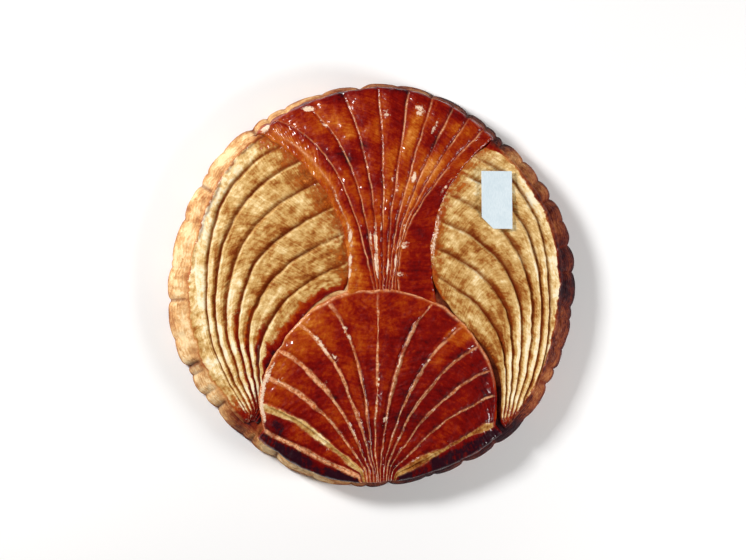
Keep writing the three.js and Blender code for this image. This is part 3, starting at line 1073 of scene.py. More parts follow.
@dataclass
class Shell(Panel):
    """The glazed shell: strips fanning out from a focus at the rim to an arc.

    Its scores count outwards from the straight middle one, negative on the left.
    """

    focus: tuple = (3.5, -132.0)
    arc_centre: tuple = (5.0, -82.0)
    arc_radius: float = 80.0
    bulge: float = 3.0  # how far the arc bulges out on the left
    right_lean: float = 0.96
    outermost: float = 6.0
    stray: float = 2.2  # how far the middle scores bend aside near the focus
    score_length: float = 90.0
    arc_fade: float = 0.022  # share of the scores over which the glaze is painted paler at the arc, as painted highlight on its rounded edge
    cut_pitch: float = 7.5  # width from which a strip has its cut face in full
    cut_height: float = 0.7  # how high the cut faces are raised
    cut_groove: float = 0.5  # depth of the groove at their foot
    edge_height: float = 0.8  # height of the thick edge at the left of the arc
    wrinkles: tuple = (0.18, 0.35)  # heights of the fine and the broad wrinkles
    # spots of painted highlight: score number, share, their two half widths, and strength of each
    pale: tuple = (
        (-1.85, 0.78, 0.13, 0.1, 0.8), (-1.7, 0.67, 0.12, 0.03, 0.9), (-2.8, 0.59, 0.15, 0.02, 1.0),
        (-0.9, 0.78, 0.08, 0.09, 0.9), (-3.85, 0.86, 0.18, 0.02, 1.0),
        (-3.4, 0.955, 0.5, 0.02, 0.6), (0.85, 0.31, 0.16, 0.025, 1.0), (1.0, 0.58, 0.06, 0.1, 0.7),
        (0.1, 0.5, 0.1, 0.1, 0.9), (2.15, 0.69, 0.1, 0.02, 1.0), (-5.4, 0.3, 0.2, 0.02, 0.9),
        (-0.85, 0.4, 0.12, 0.04, 0.9), (-1.6, 0.3, 0.14, 0.04, 0.9), (3.95, 0.49, 0.12, 0.04, 0.7),
        (-6.1, 0.85, 0.08, 0.07, 0.9), (0.0, 0.35, 0.1, 0.07, 0.9), (-2.8, 0.28, 0.15, 0.05, 0.7),
        (3.0, 0.22, 0.2, 0.04, 0.5), (2.2, 0.45, 0.1, 0.06, 0.6), (5.0, 0.28, 0.08, 0.06, 0.5),
        (5.95, 0.5, 0.2, 0.1, 0.4),
    )
    cut_widths: tuple = (3.4, 6.2, 3.0, 3.2, 3.0, 2.2, 2.2, 1.8, 2.2, 2.8, 2.2, 1.7, 5.0)
    cut_shifts: tuple = (0.04, 0.12, -0.02, -0.06, -0.14, -0.1, 0.0, 0.04, 0.18, -0.02, -0.05, -0.1, -0.04)
    gilded_cuts: tuple = (-5.0, 6.0)
    focus_rim: float = 0.06  # share of the scores over which they run on down the rim
    columns_per_strip: int = 20
    rows: int = 320
    recipe: ClassVar[Recipe] = {
        "bake": {"plain": 0.62, "right": 0.1, "upper_left": -0.26, "flank": -0.32, "trough_shade": 0.09,
                 "black": 0.3, "top": -0.1, "arc": -0.2},
        "cut": {"faces": 1.0},
        "gild": {"plain": -0.6, "gilded_face": 1.7},
        "tone_and_painted_light": {"gilded_left": 0.1, "gilded_right": -0.5},
        "score": {"deep_trough_shade": 0.1},
        "painted_highlight": {"glints": 0.8, "pale": 1.0, "thick_edge": 0.9},
        "matt": {"matt": 1.0},
    }

    @property
    def cut_numbers(self) -> Array:
        """Numbers of the scores that the cut faces' widths and shifts are listed by."""
        return np.arange(-self.outermost, self.outermost + 1)

    def spokes(self, line: Array) -> Array:
        """Bends the guides to both sides of the middle score and ends them on the arc.

        Args:
            line: score numbers.

        Returns:
            Four control points for each line.
        """
        count = np.minimum(np.abs(line), self.outermost)
        lean = np.where(line > 0, self.right_lean, -1.0)[..., None]
        centre = np.array(self.arc_centre)
        axis = np.zeros(line.shape + (4, 2))
        axis[..., 1] = (centre[1] + self.arc_radius - self.focus[1]) * np.arange(4) / 3
        points = mix(axis, blend(self.guides, np.maximum(count, 1)), np.minimum(count, 1)[..., None, None])
        swing = np.arctan2(points[..., 0], points[..., 1]) * lean
        away = np.linalg.norm(points, axis=-1)
        points = np.stack([away * np.sin(swing), away * np.cos(swing)], -1) + np.array(self.focus)
        radius = self.arc_radius + self.bulge * bell(line + 4.7, 1.3)
        spoke = points[..., 3, :] - centre
        spoke = spoke / np.linalg.norm(spoke, axis=-1, keepdims=True)
        points[..., 3, :] = centre + radius[..., None] * spoke
        return points

    def plan(self, line: Array, along: Array) -> Array:
        """Follows the scores, or the way from the outermost one to the rim.

        Args:
            line: score numbers.
            along: shares along the scores.

        Returns:
            Places in the plan.
        """
        spot = on_curve(self.spokes(line), along)
        aside = self.stray * bell(line + 0.4, 0.9) * window(along, (0.0, 0.2), (0.48, 0.28))
        spot = spot - np.stack([aside, np.zeros_like(aside)], -1)
        spot = to_rim(spot, self.drape, np.abs(line) - self.outermost)
        return to_rim(spot, self.drape, smoothstep(self.focus_rim, 0.0, along))

    def relief(self, line: Array, along: Array, pitch: Array) -> Array:
        """Shapes shingles that step down outwards, and a bead on the middle score.

        Args:
            line: score numbers.
            along: shares along the scores.
            pitch: widths of the strips there.

        Returns:
            Heights in millimetres above the lifted dome.
        """
        count = self.counted(line)
        share = np.clip(np.ceil(count) - count, 0.0, 1.0)
        bead = 0.2 + 0.6 * np.cos(np.pi * count) ** 2
        body = np.where(count < 1, bead, shingle(share))
        depth = self.depth_at(pitch) * smoothstep(0.0, 0.12, 1.0 - along)
        beside, width = self.beside_cut(line, along, pitch)
        near = np.minimum(1.0, pitch / 6.0) * smoothstep(1.0, 0.94, along)
        raised = self.cut_height * bell(beside, 0.45 * width + 0.1)
        raised = raised - self.cut_groove * bell(beside + 0.5 * width + 0.8, 0.8)
        thick = self.edge_height * self.thick_edge(line, (1.0 - along) * self.score_length)
        fine, broad = self.wrinkles
        wrinkles = fine * LUMPS(line * 1.1, along * 30.0, 22.0)
        wrinkles = wrinkles + broad * LUMPS(line * 2.2, along * 11.0, 24.0)
        wrinkles = wrinkles * smoothstep(0.03, 0.2, along)
        return depth * body + near * raised * (count > 0.5) + thick + wrinkles

    def thick_edge(self, line: Array, from_arc: Array) -> Array:
        """Thick edge that the left of the arc has, from 0 to 1."""
        return bell(from_arc - 2.9, 2.2) * window(line, (-6.1, -5.4), (-3.2, -4.2))

    def counted(self, line: Array) -> Array:
        """Score numbers counted outwards, each cut moved to its own place."""
        return np.abs(line) - np.interp(line, self.cut_numbers, self.cut_shifts)

    def beside_cut(self, line: Array, along: Array, pitch: Array) -> tuple:
        """Distance outside the middle of the nearest cut face, and that face's width.

        Args:
            line: score numbers.
            along: shares along the scores.
            pitch: widths of the strips there.

        Returns:
            Distance and width in millimetres.
        """
        count = self.counted(line)
        width = np.interp(np.round(count) * np.sign(line), self.cut_numbers, self.cut_widths)
        ragged = 0.4 * LUMPS.rough(line * 3.0, along * 40.0, 1.5) + 0.3 * LUMPS(line * 1.1, along * 9.0, 2.5)
        taper = np.minimum(1.0, pitch / self.cut_pitch) * (0.82 + 0.55 * LUMPS(line * 0.9, along * 9.0, 19.0))
        return (count - np.round(count)) * pitch + ragged, width * taper

    def border(self, line: Array, along: Array, pitch: Array, length: Array) -> Array:
        """The shell ends at its arc."""
        return (1.0 - along) * length

    def marks(self, line: Array, along: Array, pitch: Array, spot: Array) -> Paint:
        """Deep glaze, tan cut faces of their own width, gold on the broadest ones, painted shade beside them
        and painted highlights.

        Args:
            line: score numbers.
            along: shares along the scores.
            pitch: widths of the strips there.
            spot: places in the plan.

        Returns:
            The marks by name.
        """
        count = self.counted(line)
        nearest = np.round(count) * np.sign(line)
        real = (np.abs(nearest) < self.outermost + 0.5) * smoothstep(1.0, 0.95, along)
        offset, width = self.beside_cut(line, along, pitch)
        face = smoothstep(0.62, 0.28, np.abs(offset) / width) * real
        # painted shade in the hollow on the inner side of each cut face
        trough_shade = bell(offset + 0.5 * width + 0.9, 1.0) * (count > 0.6) * real
        gilded = np.isin(nearest, self.gilded_cuts)
        scorched = bell(line + 5.6, 0.33) * bell(along - 0.84, 0.1)
        broken = smoothstep(-0.6, 0.2, LUMPS.rough(line * 0.8, along * 22.0, 29.0))
        ragged = smoothstep(-0.5, 0.3, LUMPS.rough_over_plan(spot, 1.6, 37.0))
        # glints: painted highlights along the cut faces
        glints = smoothstep(-0.1, 0.4, LUMPS.rough(line * 0.9, along * 34.0, 33.0)) * (1.0 - gilded)
        from_arc = (1.0 - along) * self.score_length + 0.5 * LUMPS.over_plan(spot, 5.0, 13.0)
        # brim: tan line along the arc, painted highlight on its rounded edge
        brim = bell(from_arc - 1.2, 0.75) * smoothstep(5.0, 3.0, line) * (count < self.outermost)
        worn_face = face * mix(0.8, 1.0, smoothstep(0.5, -0.5, line)) * mix(0.4, 1.0, broken)
        dull_brim = bell(from_arc - 1.8, 3.4) * smoothstep(2.0, 4.0, line)
        return {
            "right": smoothstep(0.0, 1.5, line),
            "upper_left": smoothstep(0.6, 1.0, along) * window(line, (-5.8, -5.1), (-0.3, -2.0)),
            "flank": window(line, (1.95, 2.05), (2.8, 2.5)) * smoothstep(0.6, 0.8, along),
            "trough_shade": trough_shade,
            "deep_trough_shade": trough_shade * smoothstep(0.05, 0.2, along),
            "black": smoothstep(6.0, 6.3, line) + 1.1 * smoothstep(-6.05, -6.3, line) + 1.2 * scorched,
            "top": smoothstep(0.72, 0.95, along) * bell(line, 2.4),
            # arc: paler glaze along the arc, painted highlight on its rounded edge
            "arc": bell(1.0 - along, self.arc_fade),
            "faces": np.maximum(worn_face, 0.75 * brim),
            "gilded_face": face * gilded,
            "gilded_left": gilded & (line <= 0),
            "gilded_right": gilded & (line > 0),
            # painted highlights: glints on the faces, pale spots, and the thick edge at the left of the arc
            "glints": bell(offset + 0.15 * width, 0.35) * glints * real,
            "pale": spots(line, along, self.pale) * ragged,
            "thick_edge": self.thick_edge(line, from_arc),
            "matt": np.maximum(dull_brim, 0.9 * real * bell(offset, width)),
        }


# ------------------------------------------------------------------------------------------ the dough
@dataclass
class Dough:
    """The pie's body: flat baked base, fluted side in thin layers, and the plain top under the panels."""

    columns_per_notch: int = 24
    side_rows: int = 62
    top_rings: tuple = (0.995, 0.985, 0.97, 0.955, 0.94, 0.92, 0.9, 0.88, 0.86, 0.84, 0.82, 0.8, 0.77, 0.74,
                        0.7, 0.66, 0.62, 0.58, 0.54, 0.5, 0.45, 0.4, 0.34, 0.28, 0.2, 0.1)
    base_rings: tuple = (0.3, 0.6, 0.8, 0.9, 0.96)
    base_bake: float = 0.42
    lump_bake: float = 0.08  # how much darker the soft lumps are baked
    torn_bake: float = 0.22  # the same for each millimetre that a torn layer stands out
    glazed: tuple = (-77.0, -88.0, 14.0)  # place and radius of a patch that the glaze ran down to
    scorched: tuple = ((-76.0, -76.0, 9.0, 0.35), (-88.0, -92.0, 10.0, 0.4), (94.0, -98.0, 9.0, 0.35),
                       (-80.0, -104.0, 6.0, 0.25))
    puff: float = 0.6
    joined: float = 0.0001

    def profile(self) -> Array:
        """Draws the half section of a round pie.

        Returns:
            Radius, height, and a mark that tells base, side and top apart, for each point.
        """
        foot, top = PIE.foot_radius, PIE.top_radius
        inner = foot - PIE.base_inset
        base = [(share * inner, 0.0, -2.0 + share) for share in (0.0, *self.base_rings, 1.0)]
        side = []
        for row in range(self.side_rows + 1):
            share = row / self.side_rows
            swing = share * math.pi / 2
            height = mix(PIE.foot_height, PIE.edge_height, math.sin(swing))
            side.append((mix(top, foot, math.cos(swing)), height, share))
        rings = [(share * top, PIE.crown_height, 2.0 - share) for share in (*self.top_rings, 0.0)]
        return np.array(base + side + rings)

    def turned(self, columns: int) -> bpy.types.Mesh:
        """Spins the half section into a closed round pie.

        Args:
            columns: how many faces it has round.

        Returns:
            The round pie, whose vertices carry the section's mark as "course".
        """
        work = bmesh.new()
        mark = work.verts.layers.float.new("course")
        section = []
        for radius, height, course in self.profile():
            vertex = work.verts.new((radius, 0.0, height))
            vertex[mark] = course
            section.append(vertex)
        edges = [work.edges.new(pair) for pair in zip(section, section[1:])]
        bmesh.ops.spin(work, geom=section + edges, axis=(0, 0, 1), cent=(0, 0, 0), angle=2 * math.pi,
                       steps=columns, use_merge=True)
        bmesh.ops.remove_doubles(work, verts=work.verts[:], dist=self.joined)
        return settle(work, "galette_dough")

    def build(self, finish: bpy.types.Material) -> bpy.types.Object:
        """Builds the dough.

        Args:
            finish: its material.

        Returns:
            The finished piece.
        """
        columns = PIE.notches * self.columns_per_notch
        mesh = self.turned(columns)
        course = np.empty(len(mesh.vertices), np.float32)
        mesh.attributes["course"].data.foreach_get("value", course)
        mesh.attributes.remove(mesh.attributes["course"])
        course = course.astype(float)
        x, y = read(mesh)[:, :2].T
        turn = np.mod(np.arctan2(y, x) / (2 * np.pi), 1.0)
        angle = PIE.angle_at(np.mod(np.round(turn * columns), columns) / self.columns_per_notch)
        points = self.shape(course, angle, np.hypot(x, y))
        write(mesh, points)
        paint(mesh, self.coats(course, angle, points))
        lay_uv(mesh, angle * PIE.foot_radius * MM, points[:, 2] * MM)
        face_outwards(mesh)
        return add_piece(mesh, "galette", finish)

    def on_side(self, course: Array) -> Array:
        """Whether a mark of the section lies on the side, between the base and the top."""
        return (course >= 0) & (course <= 1.0)

    def shape(self, course: Array, angle: Array, radius: Array) -> Array:
        """Stretches the round pie to its outline and puffs its side.

        Args:
            course: mark of the section: base below 0, side from 0 to 1, top above 1.
            angle: angle round the pie.
            radius: radius in the round pie.

        Returns:
            The points in millimetres.
        """
        on_side = self.on_side(course)
        inside = (radius / PIE.top_radius - 1.0) * PIE.edge(angle)
        over = np.where(on_side, (1.0 - course) * PIE.side_length, inside)
        new_radius, height, out, up = PIE.skin(angle, over)
        foot = radius / PIE.foot_radius
        base_radius = foot * (PIE.foot_radius + PIE.wave(angle)) - foot**8 * PIE.notch(angle)
        new_radius = np.where(course < 0, base_radius, new_radius)
        sunk = dome_lumps(stand_up(angle, new_radius, height))
        sunk = sunk - PIE.dough_drop * smoothstep(1.0, 1.02, course)
        sunk = sunk + self.puff * PIE.folds(angle, over) * smoothstep(-16.0, -6.0, over)
        proud = np.where(on_side, PIE.crust(angle, course), sunk)
        new_radius = new_radius + np.where(course < 0, 0.0, out * proud)
        return stand_up(angle, new_radius, np.where(course < 0, 0.0, height + up * proud))

    def coats(self, course: Array, angle: Array, points: Array) -> Paint:
        """Lays bare crust on side and base, darkest on the right and lower sides, partly from the oven's heat
        and partly as painted shade.

        Args:
            course: mark of the section.
            angle: angle round the pie.
            points: the points in millimetres.

        Returns:
            How much there is of each coat, by its name.
        """
        x, y, z = points.T
        lumps = LUMPS.rough(x / 7.0, y / 7.0, z / 7.0)
        on_side = self.on_side(course)
        over = np.where(on_side, (1.0 - course) * PIE.side_length, np.hypot(x, y) - PIE.edge(angle))
        torn = PIE.crust(angle, course)
        relief = self.torn_bake * (torn + 0.6) - PIE.fold_bake * PIE.folds(angle, over)
        # the side's darkness from its angle, with its painted shade on the right and lower sides
        bake = PIE.bake(angle) + self.lump_bake * lumps + relief * on_side
        for across, up, radius, strength in self.scorched:
            bake = bake + strength * bell(np.hypot(x - across, y - up) + 4.0 * lumps, radius)
        across, up, radius = self.glazed
        glazed = bell(np.hypot(x - across, y - up) + 3.0 * lumps, radius)
        return {
            "bake": np.where(course < 0, self.base_bake + 0.15 * lumps, bake),
            "crust": 1.0 - 0.85 * glazed * smoothstep(0.5, 0.75, course),
            "score": side_marks(angle, over) * (course >= 0),
            "gild": np.full(x.shape, -1.0),
        }


# ------------------------------------------------------------------------------------------ the card
@dataclass
class LabelCard:
    """A plain card with one corner cut off, lying on the crests of a wing."""

    size: tuple = (21.0, 39.5)
    thickness: float = 0.9
    cut: float = 7.8
    centre: tuple = (84.5, 57.5)
    gap: float = 0.35
    margin: float = 4.0
    edge_rounding: float = 0.18
    squares: tuple = (14, 26)
    sharp: float = 0.6  # angle in radians from which an edge is rounded
    joined: float = 0.01

    def sheet(self) -> bpy.types.Mesh:
        """Cuts the card out flat and rounds its edges.

        Returns:
            The flat card, centred on its own middle.
        """
        work = bmesh.new()
        bmesh.ops.create_grid(work, x_segments=self.squares[0], y_segments=self.squares[1], size=0.5)
        bmesh.ops.scale(work, verts=work.verts[:], vec=(*self.size, 1.0))
        right, top = (side / 2 for side in self.size)
        middle = Vector((self.cut / 2 - right, self.cut / 2 - top, 0.0))
        everything = work.verts[:] + work.edges[:] + work.faces[:]
        bmesh.ops.bisect_plane(work, geom=everything, plane_co=middle, plane_no=(-1, -1, 0), clear_outer=True)
        bmesh.ops.dissolve_degenerate(work, dist=self.joined, edges=work.edges[:])
        bmesh.ops.solidify(work, geom=work.faces[:], thickness=-self.thickness)
        bmesh.ops.recalc_face_normals(work, faces=work.faces[:])
        rims = [edge for edge in work.edges
                if len(edge.link_faces) == 2 and edge.calc_face_angle(0.0) > self.sharp]
        bmesh.ops.bevel(work, geom=rims, offset=self.edge_rounding, offset_type="OFFSET", segments=2,
                        profile=0.5, material=-1, affect="EDGES")
        return settle(work, "label_card_plain")

    def upright(self) -> Vector:
        """Works out how the card leans with the dome.

        Returns:
            The direction that its face looks in.
        """
        x, y = self.centre
        reach_x, reach_y = (side / 2 + self.margin for side in self.size)
        across = np.array([x - reach_x, x + reach_x, x, x])
        up = np.array([y, y, y - reach_y, y + reach_y])
        left, right, low, high = PIE.dome(across, up)
        return Vector(((left - right) / (2 * reach_x), (low - high) / (2 * reach_y), 1.0)).normalized()

    def build(self, finish: bpy.types.Material, below: Sequence[bpy.types.Object]) -> bpy.types.Object:
        """Builds the card and lays it on what is under it.

        Args:
            finish: its material.
            below: the pieces that it may lie on.

        Returns:
            The finished piece.
        """
        mesh = self.sheet()
        points = read(mesh)
        points[:, 2] -= points[:, 2].min()
        upright = self.upright()
        highest = max(self.crest(piece, upright) for piece in below)
        turn = Vector((0, 0, 1)).rotation_difference(upright).to_matrix()
        points = points @ np.array(turn).T + np.array([*self.centre, (highest + self.gap) / upright.z])
        write(mesh, points)
        lay_uv(mesh, points[:, 0] * MM, points[:, 1] * MM)
        face_outwards(mesh)
        mesh.shade_flat()
        return add_piece(mesh, "label_card", finish)

    def crest(self, piece: bpy.types.Object, upright: Vector) -> float:
        """Greatest height under the card, measured along its own upright.

        Args:
            piece: a piece that may be under it.
            upright: the card's upright.

        Returns:
            The height in millimetres.
        """
        points = read(piece.data) / MM - PLAN_SHIFT - np.array([*self.centre, 0.0])
        near = np.all(np.abs(points[:, :2]) < np.array(self.size) / 2 + 1, axis=1)
        return float((points[near] @ np.array(upright)).max(initial=0.0))


# ------------------------------------------------------------------------------------------ finishes
def tint(red: int, green: int, blue: int) -> tuple:
    """Linear colour from display values of 0 to 255."""
    scaled = (value / 255 for value in (red, green, blue))
    return (*(v / 12.92 if v <= 0.04045 else ((v + 0.055) / 1.055) ** 2.4 for v in scaled), 1.0)


class Graph:
    """A material's node graph, built socket by socket."""

    COLOURS_IN: ClassVar[tuple] = (6, 7)  # where a Mix node takes its two colours
    COLOUR_OUT: ClassVar[int] = 2

    def __init__(self, name: str) -> None:
        """Starts an empty material with its shader and output.

        Args:
            name: the material's name.
        """
        self.material = bpy.data.materials.new(name)
        self.material.use_nodes = True
        self.tree = self.material.node_tree
        self.tree.nodes.clear()
        self.shader = self.tree.nodes.new("ShaderNodeBsdfPrincipled")
        output = self.tree.nodes.new("ShaderNodeOutputMaterial")
        self.tree.links.new(self.shader.outputs[0], output.inputs["Surface"])

    def feed(self, node: bpy.types.Node, inputs: dict) -> None:
        """Links sockets to a node's inputs, or sets numbers and colours on them.

        Args:
            node: the node.
            inputs: numbers, colours or sockets by input name or index.
        """
        for key, value in inputs.items():
            if isinstance(value, Socket):
                self.tree.links.new(value, node.inputs[key])
            else:
                node.inputs[key].default_value = value

    def node(self, kind: str, inputs: dict, **settings: object) -> bpy.types.Node:
        """Adds a node.

        Args:
            kind: its type, without the leading ShaderNode.
            inputs: numbers, colours or sockets by input name or index.
            **settings: its own settings.

        Returns:
            The node.
        """
        made = self.tree.nodes.new("ShaderNode" + kind)
        for key, value in settings.items():
            setattr(made, key, value)
        self.feed(made, inputs)
        return made

    def coat(self, name: str) -> Socket:
        """One of the numbers stored with the piece's vertices."""
        return self.node("Attribute", {}, attribute_name=name).outputs["Fac"]

    def math(self, operation: str, first: object, second: object) -> Socket:
        """Arithmetic on two numbers."""
        return self.node("Math", {0: first, 1: second}, operation=operation).outputs[0]

    def varied(self, value: Socket, *noises: tuple) -> Socket:
        """Adds noises to a number.

        Args:
            value: the number.
            *noises: each noise, which is moved to lie about 0, and its strength.

        Returns:
            The sum.
        """
        for noise, strength in noises:
            around = self.math("MULTIPLY", self.math("SUBTRACT", noise, 0.5), strength)
            value = self.math("ADD", value, around)
        return value

    def weighed(self, *parts: tuple) -> Socket:
        """Adds up numbers, each with a weight.

        Args:
            *parts: two numbers, each with its weight.

        Returns:
            The sum.
        """
        first, second = (self.math("MULTIPLY", value, weight) for value, weight in parts)
        return self.math("ADD", first, second)

    def most(self, first: object, second: object) -> Socket:
        """The greater of two numbers."""
        return self.math("MAXIMUM", first, second)

    def ramp(self, value: Socket, low: float, high: float) -> Socket:
        """Soft step of a number from 0 at low to 1 at high."""
        inputs = {"Value": value, "From Min": low, "From Max": high}
        return self.node("MapRange", inputs, interpolation_type="SMOOTHSTEP").outputs["Result"]

    def between(self, share: Socket, low: float, high: float) -> Socket:
        """Number that runs from low to high as a share runs from 0 to 1."""
        return self.node("MapRange", {"Value": share, "To Min": low, "To Max": high}).outputs["Result"]

    def colours(self, value: Socket, stops: Sequence[tuple]) -> Socket:
        """Colour read off a row of stops.

        Args:
            value: where to read it.
            stops: place and colour of each stop.

        Returns:
            The colour.
        """
        made = self.node("ValToRGB", {"Fac": value})
        elements = made.color_ramp.elements
        while len(elements) < len(stops):
            elements.new(0.5)
        for element, (place, colour) in zip(elements, stops):
            element.position = place
            element.color = colour
        return made.outputs["Color"]

    def over(self, share: object, under: object, top: object) -> Socket:
        """Lays one colour over another."""
        inputs = {"Factor": share, **dict(zip(self.COLOURS_IN, (under, top)))}
        return self.node("Mix", inputs, data_type="RGBA").outputs[self.COLOUR_OUT]

    def noise(self, where: Socket, step: float, detail: float = 3.0, stretch: tuple = (1.0, 1.0, 1.0),
              roughness: float = 0.55) -> Socket:
        """Adds noise.

        Args:
            where: the places to read it at.
            step: size of its steps in metres.
            detail: how much finer noise lies on it.
            stretch: how much longer the steps are in each direction.
            roughness: how strong the finer noise is.

        Returns:
            The noise, from 0 to 1.
        """
        scale = tuple(1.0 / (step * part) for part in stretch)
        place = self.node("Mapping", {"Vector": where, "Scale": scale}).outputs[0]
        inputs = {"Vector": place, "Scale": 1.0, "Detail": detail, "Roughness": roughness}
        return self.node("TexNoise", inputs).outputs[0]

    def bump(self, height: Socket, distance: float, strength: float) -> Socket:
        """Fine relief of a height, given in metres."""
        return self.node("Bump", {"Height": height, "Distance": distance, "Strength": strength}).outputs[0]


@dataclass(frozen=True)
class Pastry:
    """Baked puff pastry. Its coats tell where it is browned, gilded, cut open or bare, and where shade and
    highlights are painted on.
    """

    name: str
    gloss: float = 0.8
    roughness: float = 0.4
    coat_roughness: float = 0.15
    dull_roughness: float = 0.6
    dull_gloss: float = 0.05
    specular: float = 0.06
    streaks: float = 0.4
    speckle: float = 0.5
    blotches: float = 0.9
    patches: float = 0.45
    cut_dullness: float = 0.9
    relief: tuple = (0.0014, 0.75)  # distance in metres and strength of the dough's fine relief
    wash_relief: tuple = (0.0018, 0.6)  # the same for the egg wash on it
    glaze: tuple = (
        (0.0, tint(228, 152, 76)),
        (0.2, tint(194, 102, 26)),
        (0.36, tint(168, 64, 4)),
        (0.5, tint(150, 38, 0)),
        (0.64, tint(126, 8, 0)),
        (0.8, tint(104, 0, 0)),
        (0.92, tint(76, 0, 4)),
        (1.0, tint(40, 4, 18)),
    )
    crust: tuple = (
        (0.0, tint(246, 214, 164)),
        (0.15, tint(222, 172, 114)),
        (0.35, tint(176, 114, 66)),
        (0.6, tint(130, 62, 34)),
        (0.8, tint(78, 24, 18)),
        (1.0, tint(36, 10, 18)),
    )
    gold: tuple = (
        (0.28, tint(122, 50, 10)),
        (0.41, tint(168, 106, 46)),
        (0.5, tint(198, 152, 86)),
        (0.58, tint(218, 178, 114)),
        (0.68, tint(246, 216, 158)),
        (0.8, tint(255, 242, 208)),
    )
    crumb: tuple = tint(248, 184, 136)
    baked_crumb: tuple = tint(196, 108, 56)
    # colour of the score coat: dark score lines and seam, and painted shade beside the scores, in the hollows
    # and in the creases
    char_and_shade: tuple = tint(98, 24, 0)
    # colour of painted highlights: glints and pale spots where the glaze catches the light
    highlight_colour: tuple = tint(246, 214, 184)

    def build(self) -> bpy.types.Material:
        """Makes the material.

        Returns:
            The finished material.
        """
        graph = Graph(self.name)
        place = graph.node("TexCoord", {}).outputs["Object"]
        strips = graph.node("UVMap", {}, uv_map="strips").outputs[0]
        blotch = graph.noise(place, 0.016)
        patch = graph.noise(place, 0.0045, detail=4.0, roughness=0.68)
        mottle = graph.noise(place, 0.0022, detail=4.0, roughness=0.7)
        grain = graph.noise(place, 0.0009, detail=2.0)
        strand = graph.noise(strips, 0.0022, stretch=(1.0, 7.0, 1.0))
        streak = graph.noise(strips, 0.0018, stretch=(8.0, 1.0, 1.0))

        # this coat holds real browning, and painted shade on the side, at the wings' feet, beside the fan's
        # scores and beside the shell's cut faces
        bake = graph.coat("bake")
        bake = graph.varied(bake, (blotch, self.blotches), (mottle, self.speckle), (patch, self.patches))
        brushed = graph.varied(bake, (streak, self.streaks))
        bare = graph.coat("crust")
        colour = graph.over(bare, graph.colours(brushed, self.glaze), graph.colours(bake, self.crust))

        cut = graph.coat("cut")
        crumb = graph.over(graph.ramp(mottle, 0.38, 0.6), self.baked_crumb, self.crumb)
        colour = graph.over(cut, colour, crumb)

        gilding = graph.ramp(graph.varied(graph.coat("gild"), (mottle, 1.6), (patch, 1.0)), 0.0, 0.85)
        # this coat holds the gold's own paler and darker patches, with painted highlight on the crests and
        # painted shade at the feet
        tone_and_painted_light = graph.math("MULTIPLY", graph.coat("tone_and_painted_light"), 0.2)
        tone_and_painted_light = graph.varied(tone_and_painted_light, (patch, 0.38), (mottle, 0.32), (strand, 0.42), (streak, 0.3),
                            (blotch, 0.72))
        colour = graph.over(gilding, colour, graph.colours(graph.math("ADD", tone_and_painted_light, 0.5), self.gold))

        # score coat: dark score lines and seam, with painted shade beside the scores, in the hollows and in
        # the creases
        colour = graph.over(graph.coat("score"), colour, self.char_and_shade)
        # painted highlights on the crests, the cut lines, the edges and in spots
        painted_highlight = graph.ramp(graph.varied(graph.coat("painted_highlight"), (mottle, 1.3), (grain, 0.9)), 0.4, 0.85)
        colour = graph.over(painted_highlight, colour, self.highlight_colour)

        matt = graph.most(graph.coat("matt"), graph.math("MULTIPLY", cut, self.cut_dullness))
        dull = graph.most(bare, graph.most(gilding, matt))
        waves = graph.noise(place, 0.0055, detail=1.0)
        brush = graph.noise(strips, 0.003, detail=0.5, stretch=(3.0, 1.0, 1.0))
        broad = graph.weighed((waves, 1.0), (brush, 0.5))
        height = graph.math("ADD", graph.weighed((mottle, 0.5), (grain, 0.15)), broad)
        graph.feed(graph.shader, {
            "Base Color": colour,
            "Roughness": graph.between(dull, self.roughness, self.dull_roughness),
            "Coat Weight": graph.between(dull, self.gloss, self.dull_gloss),
            "Normal": graph.bump(height, *self.relief),
            "Coat Normal": graph.bump(broad, *self.wash_relief),
            "Coat Roughness": self.coat_roughness,
            "Specular IOR Level": self.specular,
        })
        return graph.material


@dataclass(frozen=True)
class CardStock:
    """Plain pale card with a faint fibre."""

    name: str = "card_stock"
    light: tuple = tint(224, 236, 242)
    dark: tuple = tint(206, 222, 230)
    roughness: float = 0.6
    relief: tuple = (0.00005, 0.5)  # distance in metres and strength of the fibre's relief

    def build(self) -> bpy.types.Material:
        """Makes the material.

        Returns:
            The finished material.
        """
        graph = Graph(self.name)
        place = graph.node("TexCoord", {}).outputs["Object"]
        fibre = graph.noise(place, 0.0008, detail=4.0, stretch=(1.0, 3.0, 1.0))
        shade = graph.weighed((fibre, 0.6), (graph.noise(place, 0.012), 0.4))
        graph.feed(graph.shader, {
            "Base Color": graph.over(graph.ramp(shade, 0.3, 0.7), self.light, self.dark),
            "Normal": graph.bump(fibre, *self.relief),
            "Roughness": self.roughness,
        })
        return graph.material


@dataclass(frozen=True)
class PaleFloor:
    """Pale, matt studio floor."""

    name: str = "studio_floor"
    colour: tuple = tint(252, 252, 252)
    roughness: float = 0.8
    specular: float = 0.1

    def build(self) -> bpy.types.Material:
        """Makes the material.

        Returns:
            The finished material.
        """
        graph = Graph(self.name)
        graph.feed(graph.shader, {
            "Base Color": self.colour,
            "Roughness": self.roughness,
            "Specular IOR Level": self.specular,
        })
        return graph.material


# ------------------------------------------------------------------------------------------ the studio
class Lamp(Enum):
    """The studio's soft lights: name, place in metres, size in metres, power in watts."""

    KEY = ("key", (-0.74, 0.44, 0.72), 0.24, 13.0)
    SIDE = ("side", (0.95, -0.30, 0.50), 0.35, 9.5)


